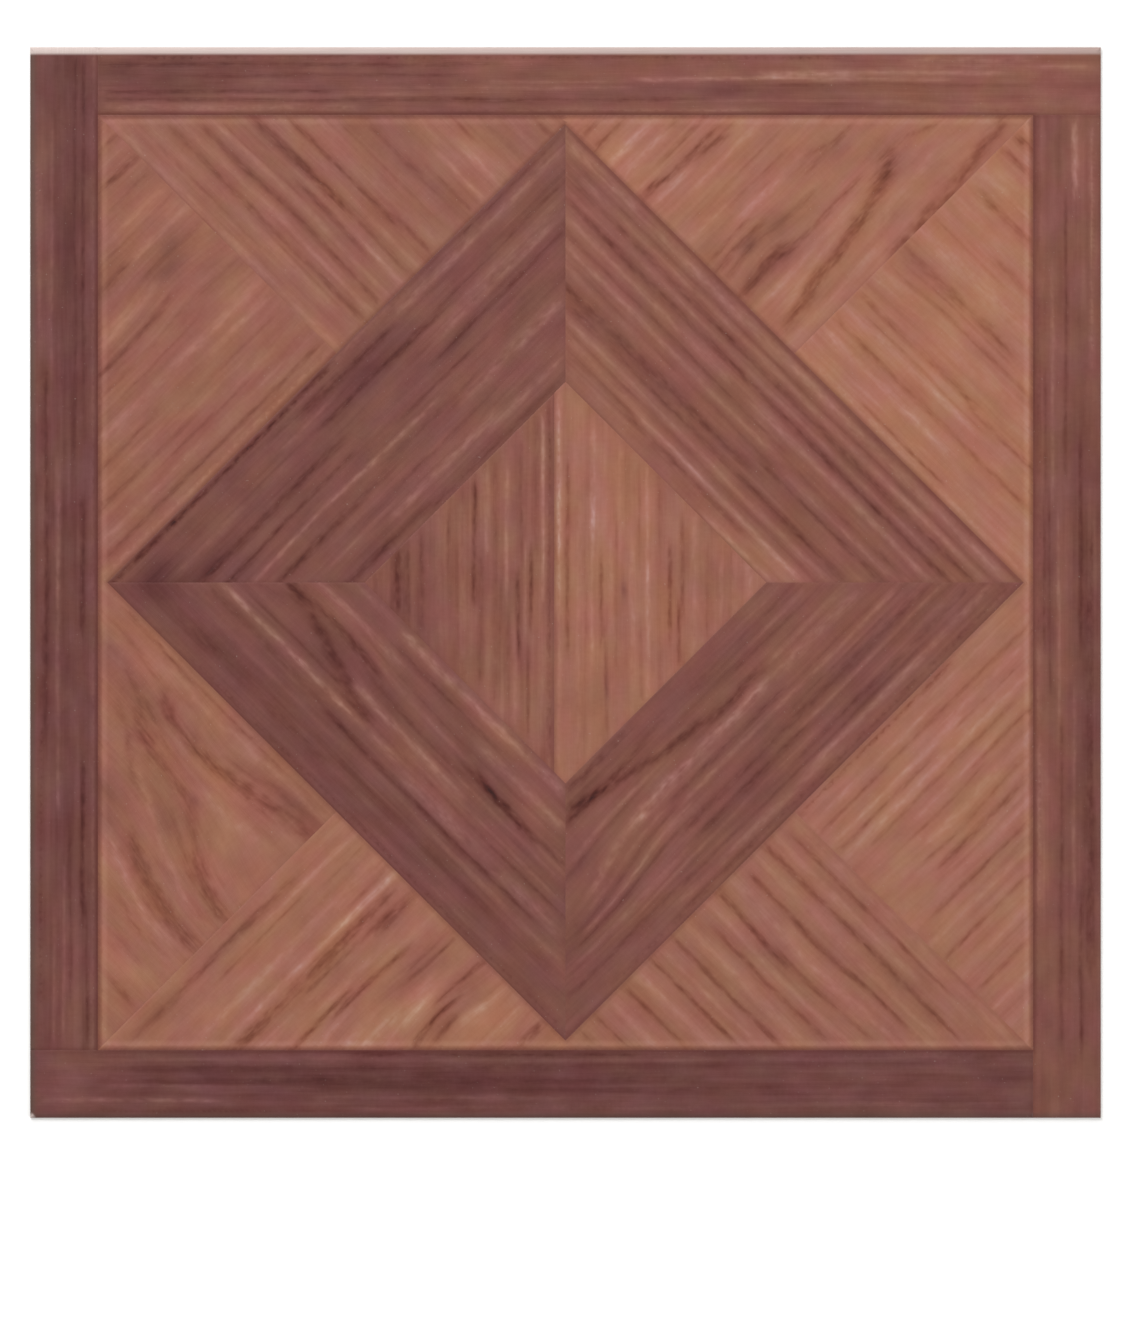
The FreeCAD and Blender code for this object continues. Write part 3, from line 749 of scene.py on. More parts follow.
# %% Close the back
back_step = 7.0
same_back_point = 1e-6
walk = np.arange(-half_side + back_step / 2, half_side - back_step / 4, back_step)
back_x, back_y = np.meshgrid(walk, walk)
back_points = np.concatenate([flat[rim], np.column_stack([back_x.ravel(), back_y.ravel()])])
loop = np.arange(len(rim))
back_edges = np.column_stack([loop, np.roll(loop, -1)])
joined = delaunay_2d_cdt(back_points.tolist(), back_edges.tolist(), [], 0, same_back_point, True)
back_triangles, origins = joined[2], joined[3]
base = len(flat) + (side_rows - 1) * len(rim)
number_of = np.array([base + origin[0] for origin in origins])
back_triangles = number_of[np.array(back_triangles)]
shape.append(np.column_stack([back_points[len(rim):], np.zeros(len(back_points) - len(rim))]))
shape = np.concatenate(shape)
faces_up = doubled_areas(shape, back_triangles) > 0
back_triangles = np.where(faces_up[:, None], back_triangles[:, ::-1], back_triangles)
side_triangles = np.concatenate(side_triangles)
all_triangles = np.concatenate([triangles, side_triangles, back_triangles])
print("triangles:", len(triangles), "face,", len(side_triangles), "sides,", len(back_triangles), "back")

# %% Put the arrays into a mesh
corner_count = 3 * len(all_triangles)
sheet = bpy.data.meshes.new("tile_sheet")
sheet.vertices.add(len(shape))
sheet.vertices.foreach_set("co", (shape * MM).ravel())
sheet.loops.add(corner_count)
sheet.loops.foreach_set("vertex_index", all_triangles.ravel())
sheet.polygons.add(len(all_triangles))
sheet.polygons.foreach_set("loop_start", np.arange(0, corner_count, 3))
sheet.polygons.foreach_set("loop_total", np.full(len(all_triangles), 3))
sheet.update(calc_edges=True)
print("mesh was changed by validate:", sheet.validate())
sheet.shade_smooth()
crease = math.radians(18)
sheet.set_sharp_from_angle(angle=crease)

tile = bpy.data.objects.new("tile_sheet", sheet)
bpy.context.scene.collection.objects.link(tile)
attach(tile, "root")
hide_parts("tile")

# %% [markdown]
# ## What the materials read
# Values that change over the tile are kept on the mesh. Some of them belong to a board and so change at once
# where two boards meet, so they are stored for each corner of each triangle: the tone of the print, the tone of
# its ground, how much is a dark line, the board's warmth and the grain map, a UV map in millimetres. The others
# are stored for each point: the ink drawn beside the joints, the chip at one corner, the painted shade that
# darkens the rolled left and bottom edges, and how far the border is. The bare strip that the print leaves along
# the top edge is straight, so the material draws it from the place alone, with a painted highlight that makes it
# paler towards the left.

# %% Tone and grain map
corner_x, corner_y = shape[triangles.ravel(), 0], shape[triangles.ravel(), 1]
corner_board = np.repeat(face_board, 3)
tone = np.full(corner_count, 0.5, np.float32)
ground = np.full(corner_count, 0.5, np.float32)
dark_lines = np.zeros(corner_count, np.float32)
warmth = np.zeros(corner_count, np.float32)
grain_map = np.zeros((corner_count, 2), np.float32)
board_spacing = (61.0, 173.0)
dark_line_drop = 0.2
for number, board in enumerate(boards):
    own = np.nonzero(corner_board == number)[0]
    across, along = to_board(board, corner_x[own], corner_y[own])
    tone[own], ground[own] = board_tone(board, across, along)
    dark_lines[own] = soft_step((ground[own] - tone[own]) / dark_line_drop)
    warmth[own] = board.warmth
    grain_map[own, 0] = grain_place(board, across, along) + number * board_spacing[0]
    grain_map[own, 1] = along + number * board_spacing[1]
corner_values = {"tone": tone, "ground": ground, "dark_lines": dark_lines, "warmth": warmth}
for name, values in corner_values.items():
    sheet.attributes.new(name, "FLOAT", "CORNER").data.foreach_set("value", values)
sheet.uv_layers.new(name="grain").data.foreach_set("uv", grain_map.ravel())
print("tones from", tone.min().round(2), "to", tone.max().round(2))

# %% Ink beside the joints, chip and painted edge shade
ink_of = np.array([line.ink for line in joints])[:, None]
drawn = ink_of * np.clip(1 - (nearest - joint_width / 2) / (inked_reach - joint_width / 2), 0, 1)
joint_ink = np.zeros(len(shape), np.float32)
joint_ink[:len(flat)] = drawn.max(axis=0)

x, y = shape[:, 0], shape[:, 1]
chip_size, chip_blur, chip_strength = 1.9, 0.6, 0.9
chip_unevenness, chip_bite = 0.8, 0.9
to_corner = np.hypot(x + half_side, y + half_side)
to_corner += chip_unevenness * value_noise(x / chip_bite, y / chip_bite, 7)
chip = chip_strength * soft_step((chip_size - to_corner) / chip_blur)

# painted shade: the colour darkens along the rolled left edge, and a little less along the bottom one
painted_shade_width, painted_shade_steepness = 2.2, 1.3
bottom_painted_shade_share = 0.55
painted_shade_left = soft_step((-x - half_side + painted_shade_width) / painted_shade_width * painted_shade_steepness)
painted_shade_bottom = soft_step((-y - half_side + painted_shade_width) / painted_shade_width * painted_shade_steepness)
painted_edge_shade = np.maximum(painted_shade_left, bottom_painted_shade_share * painted_shade_bottom)

to_border = inner_half - np.maximum(abs(x), abs(y))
point_values = {"joint_ink": joint_ink, "chip": chip, "painted_edge_shade": painted_edge_shade, "to_border": to_border}
for name, values in point_values.items():
    sheet.attributes.new(name, "FLOAT", "POINT").data.foreach_set("value", values.astype(np.float32))
print("chipped points:", int((chip > 0.5).sum()), "shaded points:", int((painted_edge_shade > 0.5).sum()))

# %% [markdown]
# A second UV map lays the tile out for baked pictures. The printed face takes most of the
# square, since all the detail is there, and the sides and the back share the strips that are left.

# %% Map for baking
corners = shape[all_triangles.ravel()]
bake_map = np.zeros((len(corners), 2), np.float32)
face_share, margin = 0.86, 0.012
side_strip, strip_gap, strip_height = 0.022, 0.15, 0.7
face_part = slice(0, 3 * len(triangles))
side_part = slice(face_part.stop, face_part.stop + 3 * len(side_triangles))
back_part = slice(side_part.stop, len(corners))
unit = corners[:, :2] / print_width + 0.5
bake_map[face_part] = margin + unit[face_part] * face_share
middle = corners[side_part].reshape(-1, 3, 3).mean(axis=1).repeat(3, axis=0)
on_x_side = abs(middle[:, 0]) > abs(middle[:, 1])
which = np.where(on_x_side, np.where(middle[:, 0] > 0, 0, 1), np.where(middle[:, 1] > 0, 2, 3))
run = np.where(on_x_side, unit[side_part, 1], unit[side_part, 0])
rise = corners[side_part, 2] / gauge
bake_map[side_part, 0] = margin + run * face_share
bake_map[side_part, 1] = 2 * margin + face_share + (which + strip_gap + strip_height * rise) * side_strip
back_share = 1 - face_share - 3 * margin
bake_map[back_part, 0] = 2 * margin + face_share + (1 - unit[back_part, 0]) * back_share
bake_map[back_part, 1] = margin + unit[back_part, 1] * back_share
sheet.uv_layers.new(name="OFBake").data.foreach_set("uv", bake_map.ravel())
print("the face takes", round(face_share ** 2 * 100), "percent of the baked pictures")

# %% [markdown]
# ## Node helpers
# A material is a small program of nodes. A few helpers keep it readable: they add a node and fill its inputs, do
# a sum, blend two colours, make noise or a mask, and start or place a node group. An input may be a number, a
# colour or another node's output.

# %% Node helpers
def srgb(red, green, blue):
    """A colour given as on a screen, 0 to 255, as the linear colour that Blender's sockets take."""
    screen = np.array([red, green, blue]) / 255
    linear = np.where(screen <= 0.04045, screen / 12.92, ((screen + 0.055) / 1.055) ** 2.4)
    return (*linear.tolist(), 1.0)


def fill(tree, socket, value):
    """Links an output to an input, or writes a number or colour in it."""
    if isinstance(value, bpy.types.NodeSocket):
        tree.links.new(value, socket)
    else:
        socket.default_value = value


def fill_all(tree, sockets, **values):
    """Fills several sockets, each by its name, with _ for a space."""
    for name, value in values.items():
        fill(tree, sockets[name.replace("_", " ")], value)


def node(tree, kind, options=None, **inputs):
    """Adds a node. Options are its own settings, and inputs are its sockets, with _ for a space."""
    made = tree.nodes.new("ShaderNode" + kind)
    for name, value in (options or {}).items():
        setattr(made, name, value)
    fill_all(tree, made.inputs, **inputs)
    return made


def sum_of(tree, operation, *values):
    """A Math node: the operation on one to three values."""
    made = tree.nodes.new("ShaderNodeMath")
    made.operation = operation
    for number, value in enumerate(values):
        fill(tree, made.inputs[number], value)
    return made.outputs[0]


def blended(tree, share, first, second, way="MIX"):
    """A colour Mix node: the first colour, with that share of the second."""
    made = tree.nodes.new("ShaderNodeMix")
    made.data_type = "RGBA"
    made.blend_type = way
    fill(tree, made.inputs[0], share)
    fill(tree, made.inputs[6], first)
    fill(tree, made.inputs[7], second)
    return made.outputs[2]


def tinted(tree, colour, tint, share=1.0):
    """A colour multiplied by a tint, or by that share of it."""
    return blended(tree, share, colour, tint, "MULTIPLY")


def product(tree, first, second):
    """One value times another."""
    return sum_of(tree, "MULTIPLY", first, second)


def scaled(tree, value, factor, start):
    """The start plus the value times the factor."""
    return sum_of(tree, "MULTIPLY_ADD", value, factor, start)


def swing(tree, wave, strength):
    """A wave from 0 to 1, turned into one about 0 of that strength: less a half, times the strength."""
    return product(tree, sum_of(tree, "SUBTRACT", wave, 0.5), strength)


def stretched_noise(tree, across, along, across_scale, along_scale, detail, roughness=0.5):
    """Noise in the plane of the grain map, with its own scale across and along the grain, in waves per mm."""
    place = node(tree, "CombineXYZ", X=product(tree, across, across_scale),
                 Y=product(tree, along, along_scale))
    wave = node(tree, "TexNoise", {"noise_dimensions": "2D"}, Vector=place.outputs[0], Scale=1.0,
                Detail=detail, Roughness=roughness)
    return wave.outputs["Fac"]


def mask(tree, value, low, high):
    """0 below the low value, 1 above the high one, and a smooth rise between."""
    smooth = {"interpolation_type": "SMOOTHSTEP"}
    return node(tree, "MapRange", smooth, Value=value, From_Min=low, From_Max=high).outputs["Result"]


def noise(tree, place, scale, detail, roughness=0.5):
    """A Noise Texture's value, from 0 to 1, at that place."""
    wave = node(tree, "TexNoise", Vector=place, Scale=scale, Detail=detail, Roughness=roughness)
    return wave.outputs["Fac"]


def stretched(tree, place, scales, turn=0.0):
    """A place scaled along each axis and then turned about the upright one, which draws a noise out there."""
    mapping = node(tree, "Mapping", Vector=place, Rotation=(0.0, 0.0, turn), Scale=scales)
    return mapping.outputs["Vector"]


def bump(tree, height, strength, depth):
    """The normal of a fine relief of that depth in millimetres, where the height is 1."""
    return node(tree, "Bump", Height=height, Strength=strength, Distance=depth * MM).outputs["Normal"]


def new_group(name, inputs, outputs):
    """A node group with named sockets. Inputs give a kind and a starting value, outputs a kind."""
    tree = bpy.data.node_groups.new(name, "ShaderNodeTree")
    for label, (kind, value) in inputs.items():
        socket = tree.interface.new_socket(label, in_out="INPUT", socket_type="NodeSocket" + kind)
        if value is not None:
            socket.default_value = value
    for label, kind in outputs.items():
        tree.interface.new_socket(label, in_out="OUTPUT", socket_type="NodeSocket" + kind)
    return tree, tree.nodes.new("NodeGroupInput").outputs, tree.nodes.new("NodeGroupOutput").inputs


def place_group(tree, group, **inputs):
    """Puts a node group in a material and fills its inputs."""
    made = tree.nodes.new("ShaderNodeGroup")
    made.node_tree = group
    fill_all(tree, made.inputs, **inputs)
    return made.outputs


# %% [markdown]
# ## The fine wood figure
# Between the listed streaks real wood is full of finer marks. This group makes them from noise stretched
# along the grain map: growth lines a few millimetres apart, which come and go in patches, strands a millimetre
# apart, hair-thin fibres, short dark pores that gather in the dark lines, and pale flecks that cross the grain.
# Another wave, a few millimetres long, says where the listed streaks break off and swell, because a streak in
# wood is a row of dashes. Two slower waves say how the colour wanders. All the printed woods use the group.

# %% Node group: wood figure
wood_figure, given, gives = new_group(
    "wood figure",
    {
        "Grain": ("Vector", None),
        "Line gap": ("Float", 2.4),
        "Line strength": ("Float", 0.1),
        "Strand strength": ("Float", 0.2),
        "Fibre strength": ("Float", 0.1),
        "Pore strength": ("Float", 0.15),
        "Mottle strength": ("Float", 0.2),
        "Dark lines": ("Float", 0.0),
    },
    {"Tone": "Float", "Breaks": "Float", "Fibres": "Float", "Pores": "Float", "Hue": "Float", "Purity": "Float"},
)
parts = node(wood_figure, "SeparateXYZ", Vector=given["Grain"])
across, along = parts.outputs["X"], parts.outputs["Y"]


def grain_wave(across_scale, along_scale, detail, roughness=0.5):
    """Noise drawn out along the grain, for this group."""
    return stretched_noise(wood_figure, across, along, across_scale, along_scale, detail, roughness)


lines = grain_wave(sum_of(wood_figure, "DIVIDE", 1.0, given["Line gap"]), 0.014, 2.0)
patches = mask(wood_figure, grain_wave(0.05, 0.02, 1.0), 0.3, 0.7)
strands = grain_wave(0.9, 0.035, 1.0)
fibres = grain_wave(3.4, 0.09, 3.0, 0.6)
pores = mask(wood_figure, grain_wave(0.9, 0.17, 1.0), 0.42, 0.72)
pores = product(wood_figure, pores, scaled(wood_figure, given["Dark lines"], 0.8, 0.2))
breaks = grain_wave(0.7, 0.3, 1.0)
flecks = grain_wave(0.4, 1.1, 2.0)
mottle = grain_wave(0.16, 0.08, 3.0)
hue = mask(wood_figure, grain_wave(0.10, 0.06, 2.0), 0.25, 0.75)
elsewhere = sum_of(wood_figure, "ADD", across, 37.0)
purity = mask(wood_figure, stretched_noise(wood_figure, elsewhere, along, 0.13, 0.08, 2.0), 0.25, 0.75)

fleck_strength = 0.07
line_part = swing(wood_figure, lines, given["Line strength"])
line_part = product(wood_figure, line_part, scaled(wood_figure, patches, 2.6, 1.2))
strand_part = swing(wood_figure, strands, given["Strand strength"])
fibre_part = swing(wood_figure, fibres, given["Fibre strength"])
pore_part = product(wood_figure, pores, given["Pore strength"])
fleck_part = swing(wood_figure, flecks, fleck_strength)
mottle_part = swing(wood_figure, mottle, given["Mottle strength"])
total = sum_of(wood_figure, "ADD", line_part, sum_of(wood_figure, "ADD", strand_part, fibre_part))
total = sum_of(wood_figure, "SUBTRACT", total, pore_part)
total = sum_of(wood_figure, "ADD", total, sum_of(wood_figure, "ADD", fleck_part, mottle_part))
fill_all(wood_figure, gives, Tone=total, Breaks=breaks, Fibres=fibres, Pores=pores, Hue=hue, Purity=purity)

# %% [markdown]
# ## The inks
# All the boards are printed with the same few inks, from a plum brown to a pale tan, so one colour ramp serves
# every wood, and a board is light or dark by its tone alone. The colours are written down as they show on the
# lit tile, so the sheen of the wear layer is taken off and the rest is divided by the light that falls on it.
# A fine line is darker or paler than the ground it lies on but keeps its colour, so red, green and blue change
# by the same amount there. The same group lets the colour wander a little from tan to rose, draws the dark red
# ink beside the joints, warms or cools a board, lets the bare vinyl show, and paints shade into the rolled left
# and bottom edges.

# %% Node group: printed ink
ink_colours = [
    (-0.25, (64, 35, 33)), (0.0, (91, 53, 52)), (0.14, (104, 63, 60)), (0.32, (120, 76, 70)),
    (0.52, (138, 89, 78)), (0.70, (155, 103, 87)), (0.87, (170, 115, 95)), (1.0, (180, 126, 105)),
    (1.25, (206, 156, 132)),
]
tone_low, tone_high = ink_colours[0][0], ink_colours[-1][0]
light_on_tile = 1.30
sheen = 0.018
dark_or_pale_line = (1.06, 0.865, 0.515, 1.0), (0.94, 1.135, 1.485, 1.0)
rose_or_tan = (1.0, 0.94, 1.07, 1.0), (1.0, 1.06, 0.93, 1.0)
pure_or_greyed = (1.02, 0.965, 0.965, 1.0), (0.98, 1.035, 1.035, 1.0)
warm_tint, cool_tint = (1.06, 0.99, 0.84, 1.0), (0.95, 0.97, 1.08, 1.0)
full_warmth = 0.2
painted_shade_cover = 0.6


def ink(red, green, blue):
    """The reflecting colour of an ink that shows as this screen colour: its light, less the sheen, shared out."""
    return [max(0.002, (value - sheen) / light_on_tile) for value in srgb(red, green, blue)[:3]] + [1.0]


# the second colour is the painted shade of the rolled left and bottom edges
joint_colour, painted_shade_colour = ink(92, 46, 42), ink(92, 80, 72)
bare_vinyl, dull_vinyl = ink(222, 207, 202), ink(204, 184, 178)
printed_ink, given, gives = new_group(
    "printed ink",
    {
        "Tone": ("Float", 0.5),
        "Ground": ("Float", 0.5),
        "Warmth": ("Float", 0.0),
        "Hue": ("Float", 0.5),
        "Purity": ("Float", 0.5),
        "Joint ink": ("Float", 0.0),
        "Bare": ("Float", 0.0),
        "Grime": ("Float", 0.0),
        "Unevenness": ("Float", 0.5),
    },
    {"Color": "Color"},
)
ramp_place = node(printed_ink, "MapRange", Value=given["Tone"], From_Min=tone_low, From_Max=tone_high)
ramp = node(printed_ink, "ValToRGB", Fac=ramp_place.outputs["Result"])
ramp.color_ramp.interpolation = "LINEAR"
while len(ramp.color_ramp.elements) < len(ink_colours):
    ramp.color_ramp.elements.new(0.5)
for stop, (at, screen_colour) in zip(ramp.color_ramp.elements, ink_colours):
    stop.position = (at - tone_low) / (tone_high - tone_low)
    stop.color = ink(*screen_colour)
above_ground = sum_of(printed_ink, "SUBTRACT", given["Tone"], given["Ground"])
pale_share = sum_of(printed_ink, "ADD", above_ground, 0.5)
colour = ramp.outputs["Color"]
for share, ends in (
    (pale_share, dark_or_pale_line),
    (given["Hue"], rose_or_tan),
    (given["Purity"], pure_or_greyed),
):
    colour = tinted(printed_ink, colour, blended(printed_ink, share, *ends))
colour = tinted(printed_ink, colour, warm_tint, mask(printed_ink, given["Warmth"], 0.0, full_warmth))
coolness = product(printed_ink, given["Warmth"], -1.0)
colour = tinted(printed_ink, colour, cool_tint, mask(printed_ink, coolness, 0.0, full_warmth))

uneven = scaled(printed_ink, given["Unevenness"], 0.7, 0.35)
colour = blended(printed_ink, product(printed_ink, given["Joint ink"], uneven), colour, joint_colour)
# painted shade in the rolled left and bottom edges
colour = blended(printed_ink, product(printed_ink, given["Grime"], painted_shade_cover), colour, painted_shade_colour)
bare_colour = blended(printed_ink, given["Unevenness"], bare_vinyl, dull_vinyl)
fill_all(printed_ink, gives, Color=blended(printed_ink, given["Bare"], colour, bare_colour))
print("inks:", len(ink_colours))

# %% [markdown]
# ## Handling marks
# A tile that has been stacked and handled isn't evenly glossy. Soft clouds, a few fine rubs and specks of dust
# change the roughness and hardly the colour. The printed face, the cut edge and the back share this group. Its
# noise is drawn from the place on the tile, so its scales are in waves per metre.

# %% Node group: handling marks
handling, given, gives = new_group(
    "handling marks",
    {"Position": ("Vector", None), "Amount": ("Float", 1.0)},
    {"Clouds": "Float", "Rubs": "Float", "Specks": "Float"},
)
clouds = mask(handling, noise(handling, given["Position"], 14.0, 3.0, 0.55), 0.35, 0.7)
clouds = product(handling, clouds, given["Amount"])
aslant = stretched(handling, given["Position"], (900.0, 26.0, 1.0), 0.6)
rubs = product(handling, mask(handling, noise(handling, aslant, 1.0, 2.0), 0.68, 0.78), clouds)
specks = mask(handling, noise(handling, given["Position"], 1500.0, 1.0), 0.76, 0.8)
specks = product(handling, specks, given["Amount"])
fill_all(handling, gives, Clouds=clouds, Rubs=rubs, Specks=specks)

# %% [markdown]
# ## The start of a material
# Every material of the tile starts in the same way: a new node tree with its Principled shader, the place on the
# tile, and the handling marks at that place. One function does this, and each material goes on from there.

# %% Start of a material
def start_material(name):
    """A new material, its node tree, its shader's inputs, the place on the tile and the handling marks there."""
    material = bpy.data.materials.new(name)
    material.use_nodes = True
    tree = material.node_tree
    position = node(tree, "TexCoord").outputs["Object"]
    marks = place_group(tree, handling, Position=position, Amount=1.0)
    return material, tree, tree.nodes["Principled BSDF"].inputs, position, marks


# %% [markdown]
# ## The printed vinyl
# The print lies under a clear, satin wear layer. The Principled shader stands for both: the colour is the
# print, and the roughness, the bump and a thin coat are the wear layer, which is embossed along the grain. One
# function makes the material of each wood, and only the values of its figure differ: the light boards are
# fine and even, the dark boards have stronger lines, and the border has the straightest, tightest grain.

# %% Material of a printed wood
bare_width, bare_blur = 2.5, 1.1
# the top edge's bare strip is painted paler towards the left, a painted highlight of the lamp at the top left
bare_strength, painted_highlight_lean = 0.75, 0.42
pale_line_starts, pale_line_ends = (0.9, 1.6), (2.0, 3.2)
pale_line_strength = 0.10
break_range, break_floor = 1.8, 0.1
dust_cover = 0.15
dust_colour = srgb(196, 184, 172)
fibre_roughness, least_roughness = 0.16, 0.34
kept_names = ("tone", "ground", "dark_lines", "warmth", "joint_ink", "chip", "painted_edge_shade", "to_border")


def printed_wood(name, **figure_values):
    """A printed wood under the wear layer. The values are those of its own figure."""
    material, tree, shader, position, marks = start_material(name)
    grain = node(tree, "UVMap", {"uv_map": "grain"}).outputs["UV"]
    kept = {label: node(tree, "Attribute", {"attribute_name": label}).outputs["Fac"] for label in kept_names}
    wood = place_group(tree, wood_figure, Grain=grain, Dark_lines=kept["dark_lines"], **figure_values)

    # the bare line along the top edge fades towards the right, a painted highlight that is brightest at the left,
    # and the chip is bare too
    place = node(tree, "SeparateXYZ", Vector=position).outputs
    bare_start = half_side - bare_width
    bare_and_highlight = mask(tree, place["Y"], bare_start * MM, (bare_start + bare_blur) * MM)
    bare_and_highlight = product(tree, bare_and_highlight, scaled(tree, place["X"], -painted_highlight_lean / (print_width * MM), bare_strength))
    bare_and_highlight = sum_of(tree, "MAXIMUM", bare_and_highlight, kept["chip"])

    # the listed streaks are broken up, and a thin pale line runs round just inside the border
    begun, over = (mask(tree, kept["to_border"], *ends) for ends in (pale_line_starts, pale_line_ends))
    pale_line = sum_of(tree, "SUBTRACT", begun, over)
    above_ground = sum_of(tree, "SUBTRACT", kept["tone"], kept["ground"])
    broken = product(tree, above_ground, scaled(tree, wood["Breaks"], break_range, break_floor))
    full_tone = sum_of(tree, "ADD", kept["ground"], sum_of(tree, "ADD", broken, wood["Tone"]))
    full_tone = scaled(tree, pale_line, pale_line_strength, full_tone)
    printed = place_group(tree, printed_ink, Tone=full_tone, Ground=kept["ground"], Warmth=kept["warmth"],
                          Hue=wood["Hue"], Purity=wood["Purity"], Joint_ink=kept["joint_ink"], Bare=bare_and_highlight,
                          Grime=kept["painted_edge_shade"], Unevenness=wood["Fibres"])
    dusty = blended(tree, product(tree, marks["Specks"], dust_cover), printed["Color"], dust_colour)

    roughness = scaled(tree, wood["Fibres"], fibre_roughness, least_roughness)
    for mark, factor in ((wood["Pores"], 0.12), (marks["Clouds"], 0.06), (marks["Rubs"], 0.10), (bare_and_highlight, 0.12)):
        roughness = scaled(tree, mark, factor, roughness)
    relief = scaled(tree, wood["Pores"], -1.0, wood["Fibres"])
    fill_all(tree, shader, Base_Color=dusty, Roughness=roughness, Normal=bump(tree, relief, 0.5, 0.06),
             Specular_IOR_Level=0.25, Coat_Weight=0.05, Coat_Roughness=0.28)
    return material


materials = [
    printed_wood("border_strip_print", Line_gap=2.0, Line_strength=0.08, Strand_strength=0.06,
                 Fibre_strength=0.05, Pore_strength=0.03, Mottle_strength=0.30),
    printed_wood("light_board_print", Line_gap=2.8, Line_strength=0.06, Strand_strength=0.06,
                 Fibre_strength=0.07, Pore_strength=0.08, Mottle_strength=0.22),
    printed_wood("dark_board_print", Line_gap=2.3, Line_strength=0.08, Strand_strength=0.07,
                 Fibre_strength=0.05, Pore_strength=0.05, Mottle_strength=0.22),
]
print("printed woods:", [material.name for material in materials])

# %% [markdown]
# ## The cut edge and the back
# The punch leaves the filled base bare on the four sides: a pale grey vinyl full of limestone grains, scored
# upright by the blade, with the thin dark line of the print along its top. The back is the same base, pressed
# flat against a roller, which leaves a fine even tooth and a few shallow streaks.

# %% Material of the cut edge
film_below, film_blur = 0.10, 0.05


def cut_edge():
    """Filled base as the punch leaves it: mineral grains, upright scores and the print's line at the top."""
    material, tree, shader, position, marks = start_material("punched_edge")
    grains = noise(tree, position, 2600.0, 3.0, 0.65)
    scores = noise(tree, stretched(tree, position, (2400.0, 2400.0, 160.0)), 1.0, 2.0)
    base = blended(tree, mask(tree, grains, 0.3, 0.7), srgb(150, 138, 126), srgb(206, 196, 184))
    base = blended(tree, product(tree, mask(tree, scores, 0.55, 0.7), 0.35), base, srgb(118, 106, 96))
    level = node(tree, "SeparateXYZ", Vector=position).outputs["Z"]
    film_low = (gauge - roll_drop - film_below) * MM
    film = mask(tree, level, film_low, film_low + film_blur * MM)
    base = blended(tree, film, base, srgb(96, 62, 54))
    base = blended(tree, product(tree, marks["Clouds"], 0.3), base, srgb(128, 116, 104))
    roughness = scaled(tree, film, -0.2, scaled(tree, grains, 0.3, 0.5))
    relief = sum_of(tree, "ADD", scores, grains)
    fill_all(tree, shader, Base_Color=base, Roughness=roughness, Normal=bump(tree, relief, 0.7, 0.05),
             Specular_IOR_Level=0.35)
    return material


# %% Material of the back
def tile_back():
    """The pressed back: a warm grey base with a fine tooth, faint roller streaks and mineral specks."""
    material, tree, shader, position, marks = start_material("calendered_back")
    tooth = node(tree, "TexVoronoi", {"feature": "SMOOTH_F1"}, Vector=position, Scale=900.0).outputs["Distance"]
    streaks = noise(tree, stretched(tree, position, (160.0, 7.0, 1.0)), 1.0, 3.0)
    grains = noise(tree, position, 1900.0, 2.0)
    base = blended(tree, mask(tree, streaks, 0.3, 0.75), srgb(168, 160, 150), srgb(188, 181, 171))
    base = blended(tree, mask(tree, grains, 0.62, 0.7), base, srgb(132, 122, 110))
    base = blended(tree, product(tree, marks["Clouds"], 0.25), base, srgb(150, 140, 128))
    roughness = scaled(tree, marks["Rubs"], 0.12, scaled(tree, tooth, 0.25, 0.5))
    relief = scaled(tree, streaks, 0.6, tooth)
    fill_all(tree, shader, Base_Color=base, Roughness=roughness, Normal=bump(tree, relief, 0.6, 0.06))
    return material


# %% Give each triangle its material
materials += [cut_edge(), tile_back()]
strip_slot, light_slot, dark_slot, edge_slot, back_slot = range(len(materials))
slot_of_kind = {"strip": strip_slot, "side": light_slot, "end": light_slot, "ring": dark_slot, "centre": light_slot}
slot_of_board = np.array([slot_of_kind[board.kind] for board in boards])
slot_of_board[[board.name == "centre_left" for board in boards]] = dark_slot
slots = np.concatenate([
    slot_of_board[face_board],
    np.full(len(side_triangles), edge_slot),
    np.full(len(back_triangles), back_slot),
])
for material in materials:
    sheet.materials.append(material)
sheet.polygons.foreach_set("material_index", slots.astype(np.int32))
sheet.update()
print("materials on the tile:", [material.name for material in sheet.materials])

# %% [markdown]
# ## The room
# The tile lies on a plain, nearly white floor. Soft light from a pale sky fills every shadow, one large lamp
# above the top left shapes the relief, a weaker one at the lower right lifts the far side, and a low lamp beyond
# the top edge brings out that rolled edge.

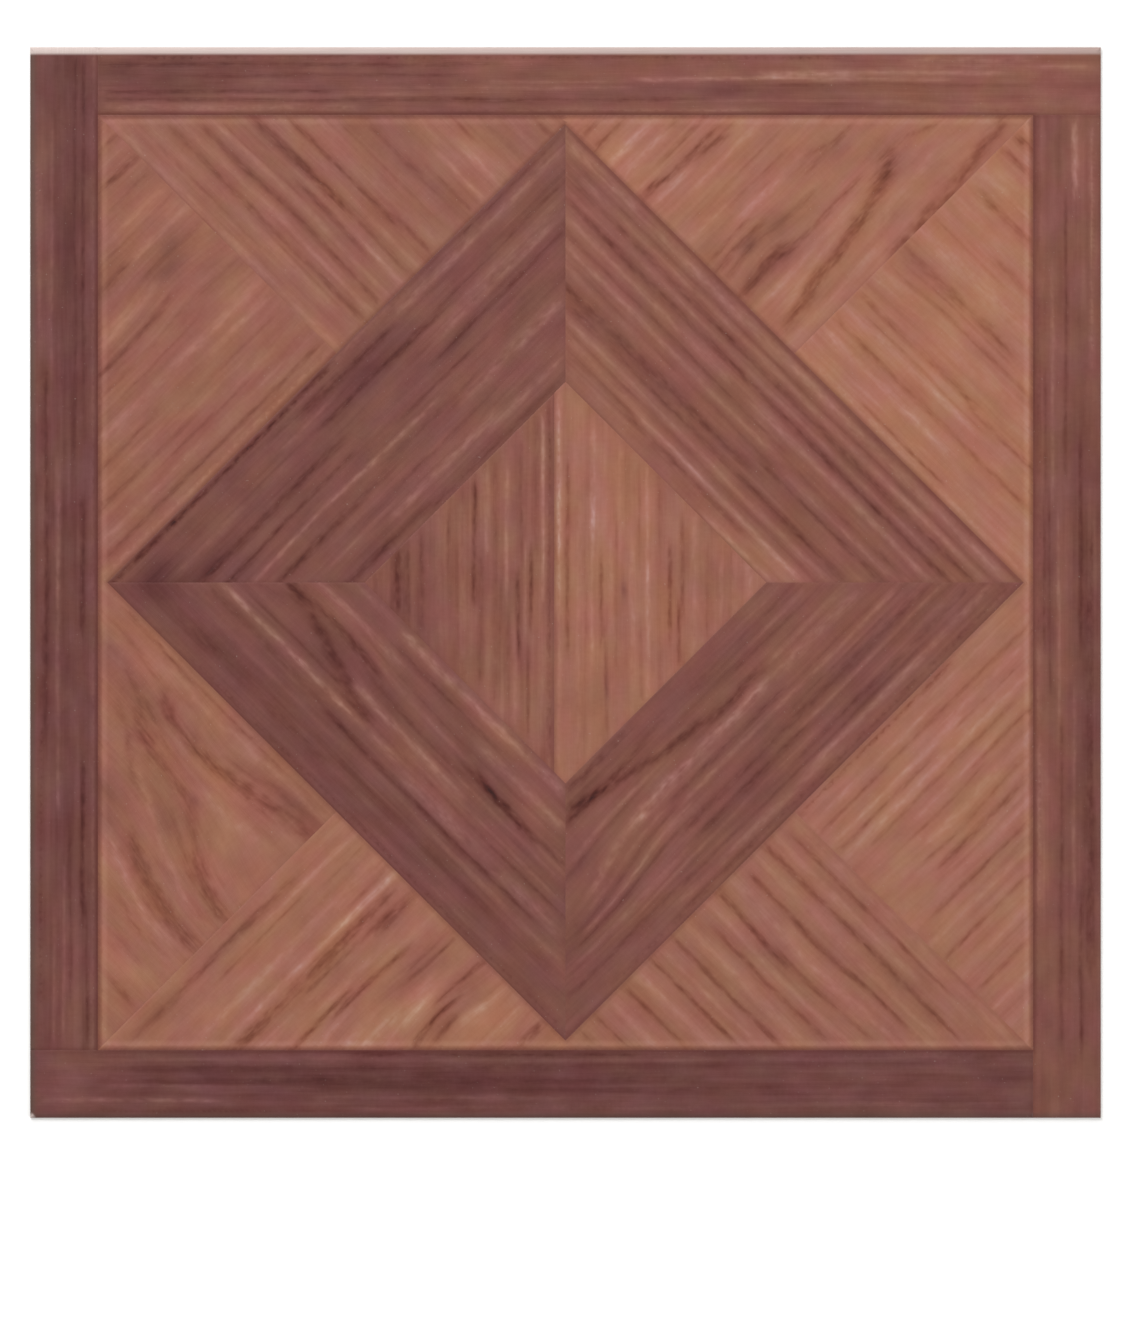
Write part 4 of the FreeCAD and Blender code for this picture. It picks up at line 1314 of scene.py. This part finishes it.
# %% Floor
floor_half = 3.0
floor_mesh = bpy.data.meshes.new("floor")
floor_drop = 0.05 * MM
floor_corners = [(x * floor_half, y * floor_half, -floor_drop) for x, y in ((-1, -1), (1, -1), (1, 1), (-1, 1))]
floor_mesh.from_pydata(floor_corners, [], [(0, 1, 2, 3)])
floor = bpy.data.objects.new("floor", floor_mesh)
bpy.context.scene.collection.objects.link(floor)
floor_paint = bpy.data.materials.new("floor_paint")
floor_paint.use_nodes = True
floor_tree = floor_paint.node_tree
floor_wave = noise(floor_tree, node(floor_tree, "TexCoord").outputs["Object"], 3.0, 4.0)
floor_white = blended(floor_tree, floor_wave, (0.86, 0.86, 0.86, 1.0), (0.88, 0.88, 0.88, 1.0))
floor_shader = floor_tree.nodes["Principled BSDF"].inputs
fill_all(floor_tree, floor_shader, Base_Color=floor_white, Roughness=0.9, Specular_IOR_Level=0.1)
floor_mesh.materials.append(floor_paint)

# %% Light
world = bpy.data.worlds.new("pale_room")
world.use_nodes = True
sky = world.node_tree.nodes["Background"].inputs
fill_all(world.node_tree, sky, Color=(1.0, 0.99, 0.975, 1.0), Strength=0.60)
bpy.context.scene.world = world


def soft_lamp(name, place, size, power):
    """A square area lamp at that place, in metres, turned to face the middle of the tile."""
    light = bpy.data.lights.new(name, "AREA")
    light.shape = "RECTANGLE"
    light.size, light.size_y = size
    light.energy = power
    lamp = bpy.data.objects.new(name, light)
    bpy.context.scene.collection.objects.link(lamp)
    lamp.location = place
    toward = -lamp.location
    lamp.rotation_mode = "QUATERNION"
    lamp.rotation_quaternion = toward.to_track_quat("-Z", "Y")


soft_lamp("key_lamp", (-0.9, 1.3, 1.3), (1.2, 1.2), 34.0)
soft_lamp("fill_lamp", (1.4, -1.1, 1.3), (1.4, 1.4), 16.0)
soft_lamp("edge_lamp", (0.0, 1.6, 0.5), (2.0, 0.3), 6.0)

# %% [markdown]
# ## The camera
# The photograph looks straight down, as a flatbed picture of the tile does, with its axis a little below the
# tile's middle. A long lens from a good height keeps the edges square.

# %% Camera
photo_width, photo_height = 1125, 1321
seen_width = 320.2
seen_height = seen_width * photo_height / photo_width
axis_x, axis_y = -0.85, -22.2
camera_height = 1500.0
camera_data = bpy.data.cameras.new("camera")
camera_data.sensor_fit = "AUTO"
camera_data.sensor_width = 36.0
camera_data.lens = camera_data.sensor_width * (camera_height - gauge) / seen_height
camera_data.clip_start, camera_data.clip_end = 0.05, 20.0
camera = bpy.data.objects.new("camera", camera_data)
camera.location = (axis_x * MM, axis_y * MM, camera_height * MM)
bpy.context.scene.collection.objects.link(camera)
bpy.context.scene.camera = camera
bpy.context.scene.view_settings.view_transform = "Standard"
print("lens:", round(camera_data.lens, 1), "mm")
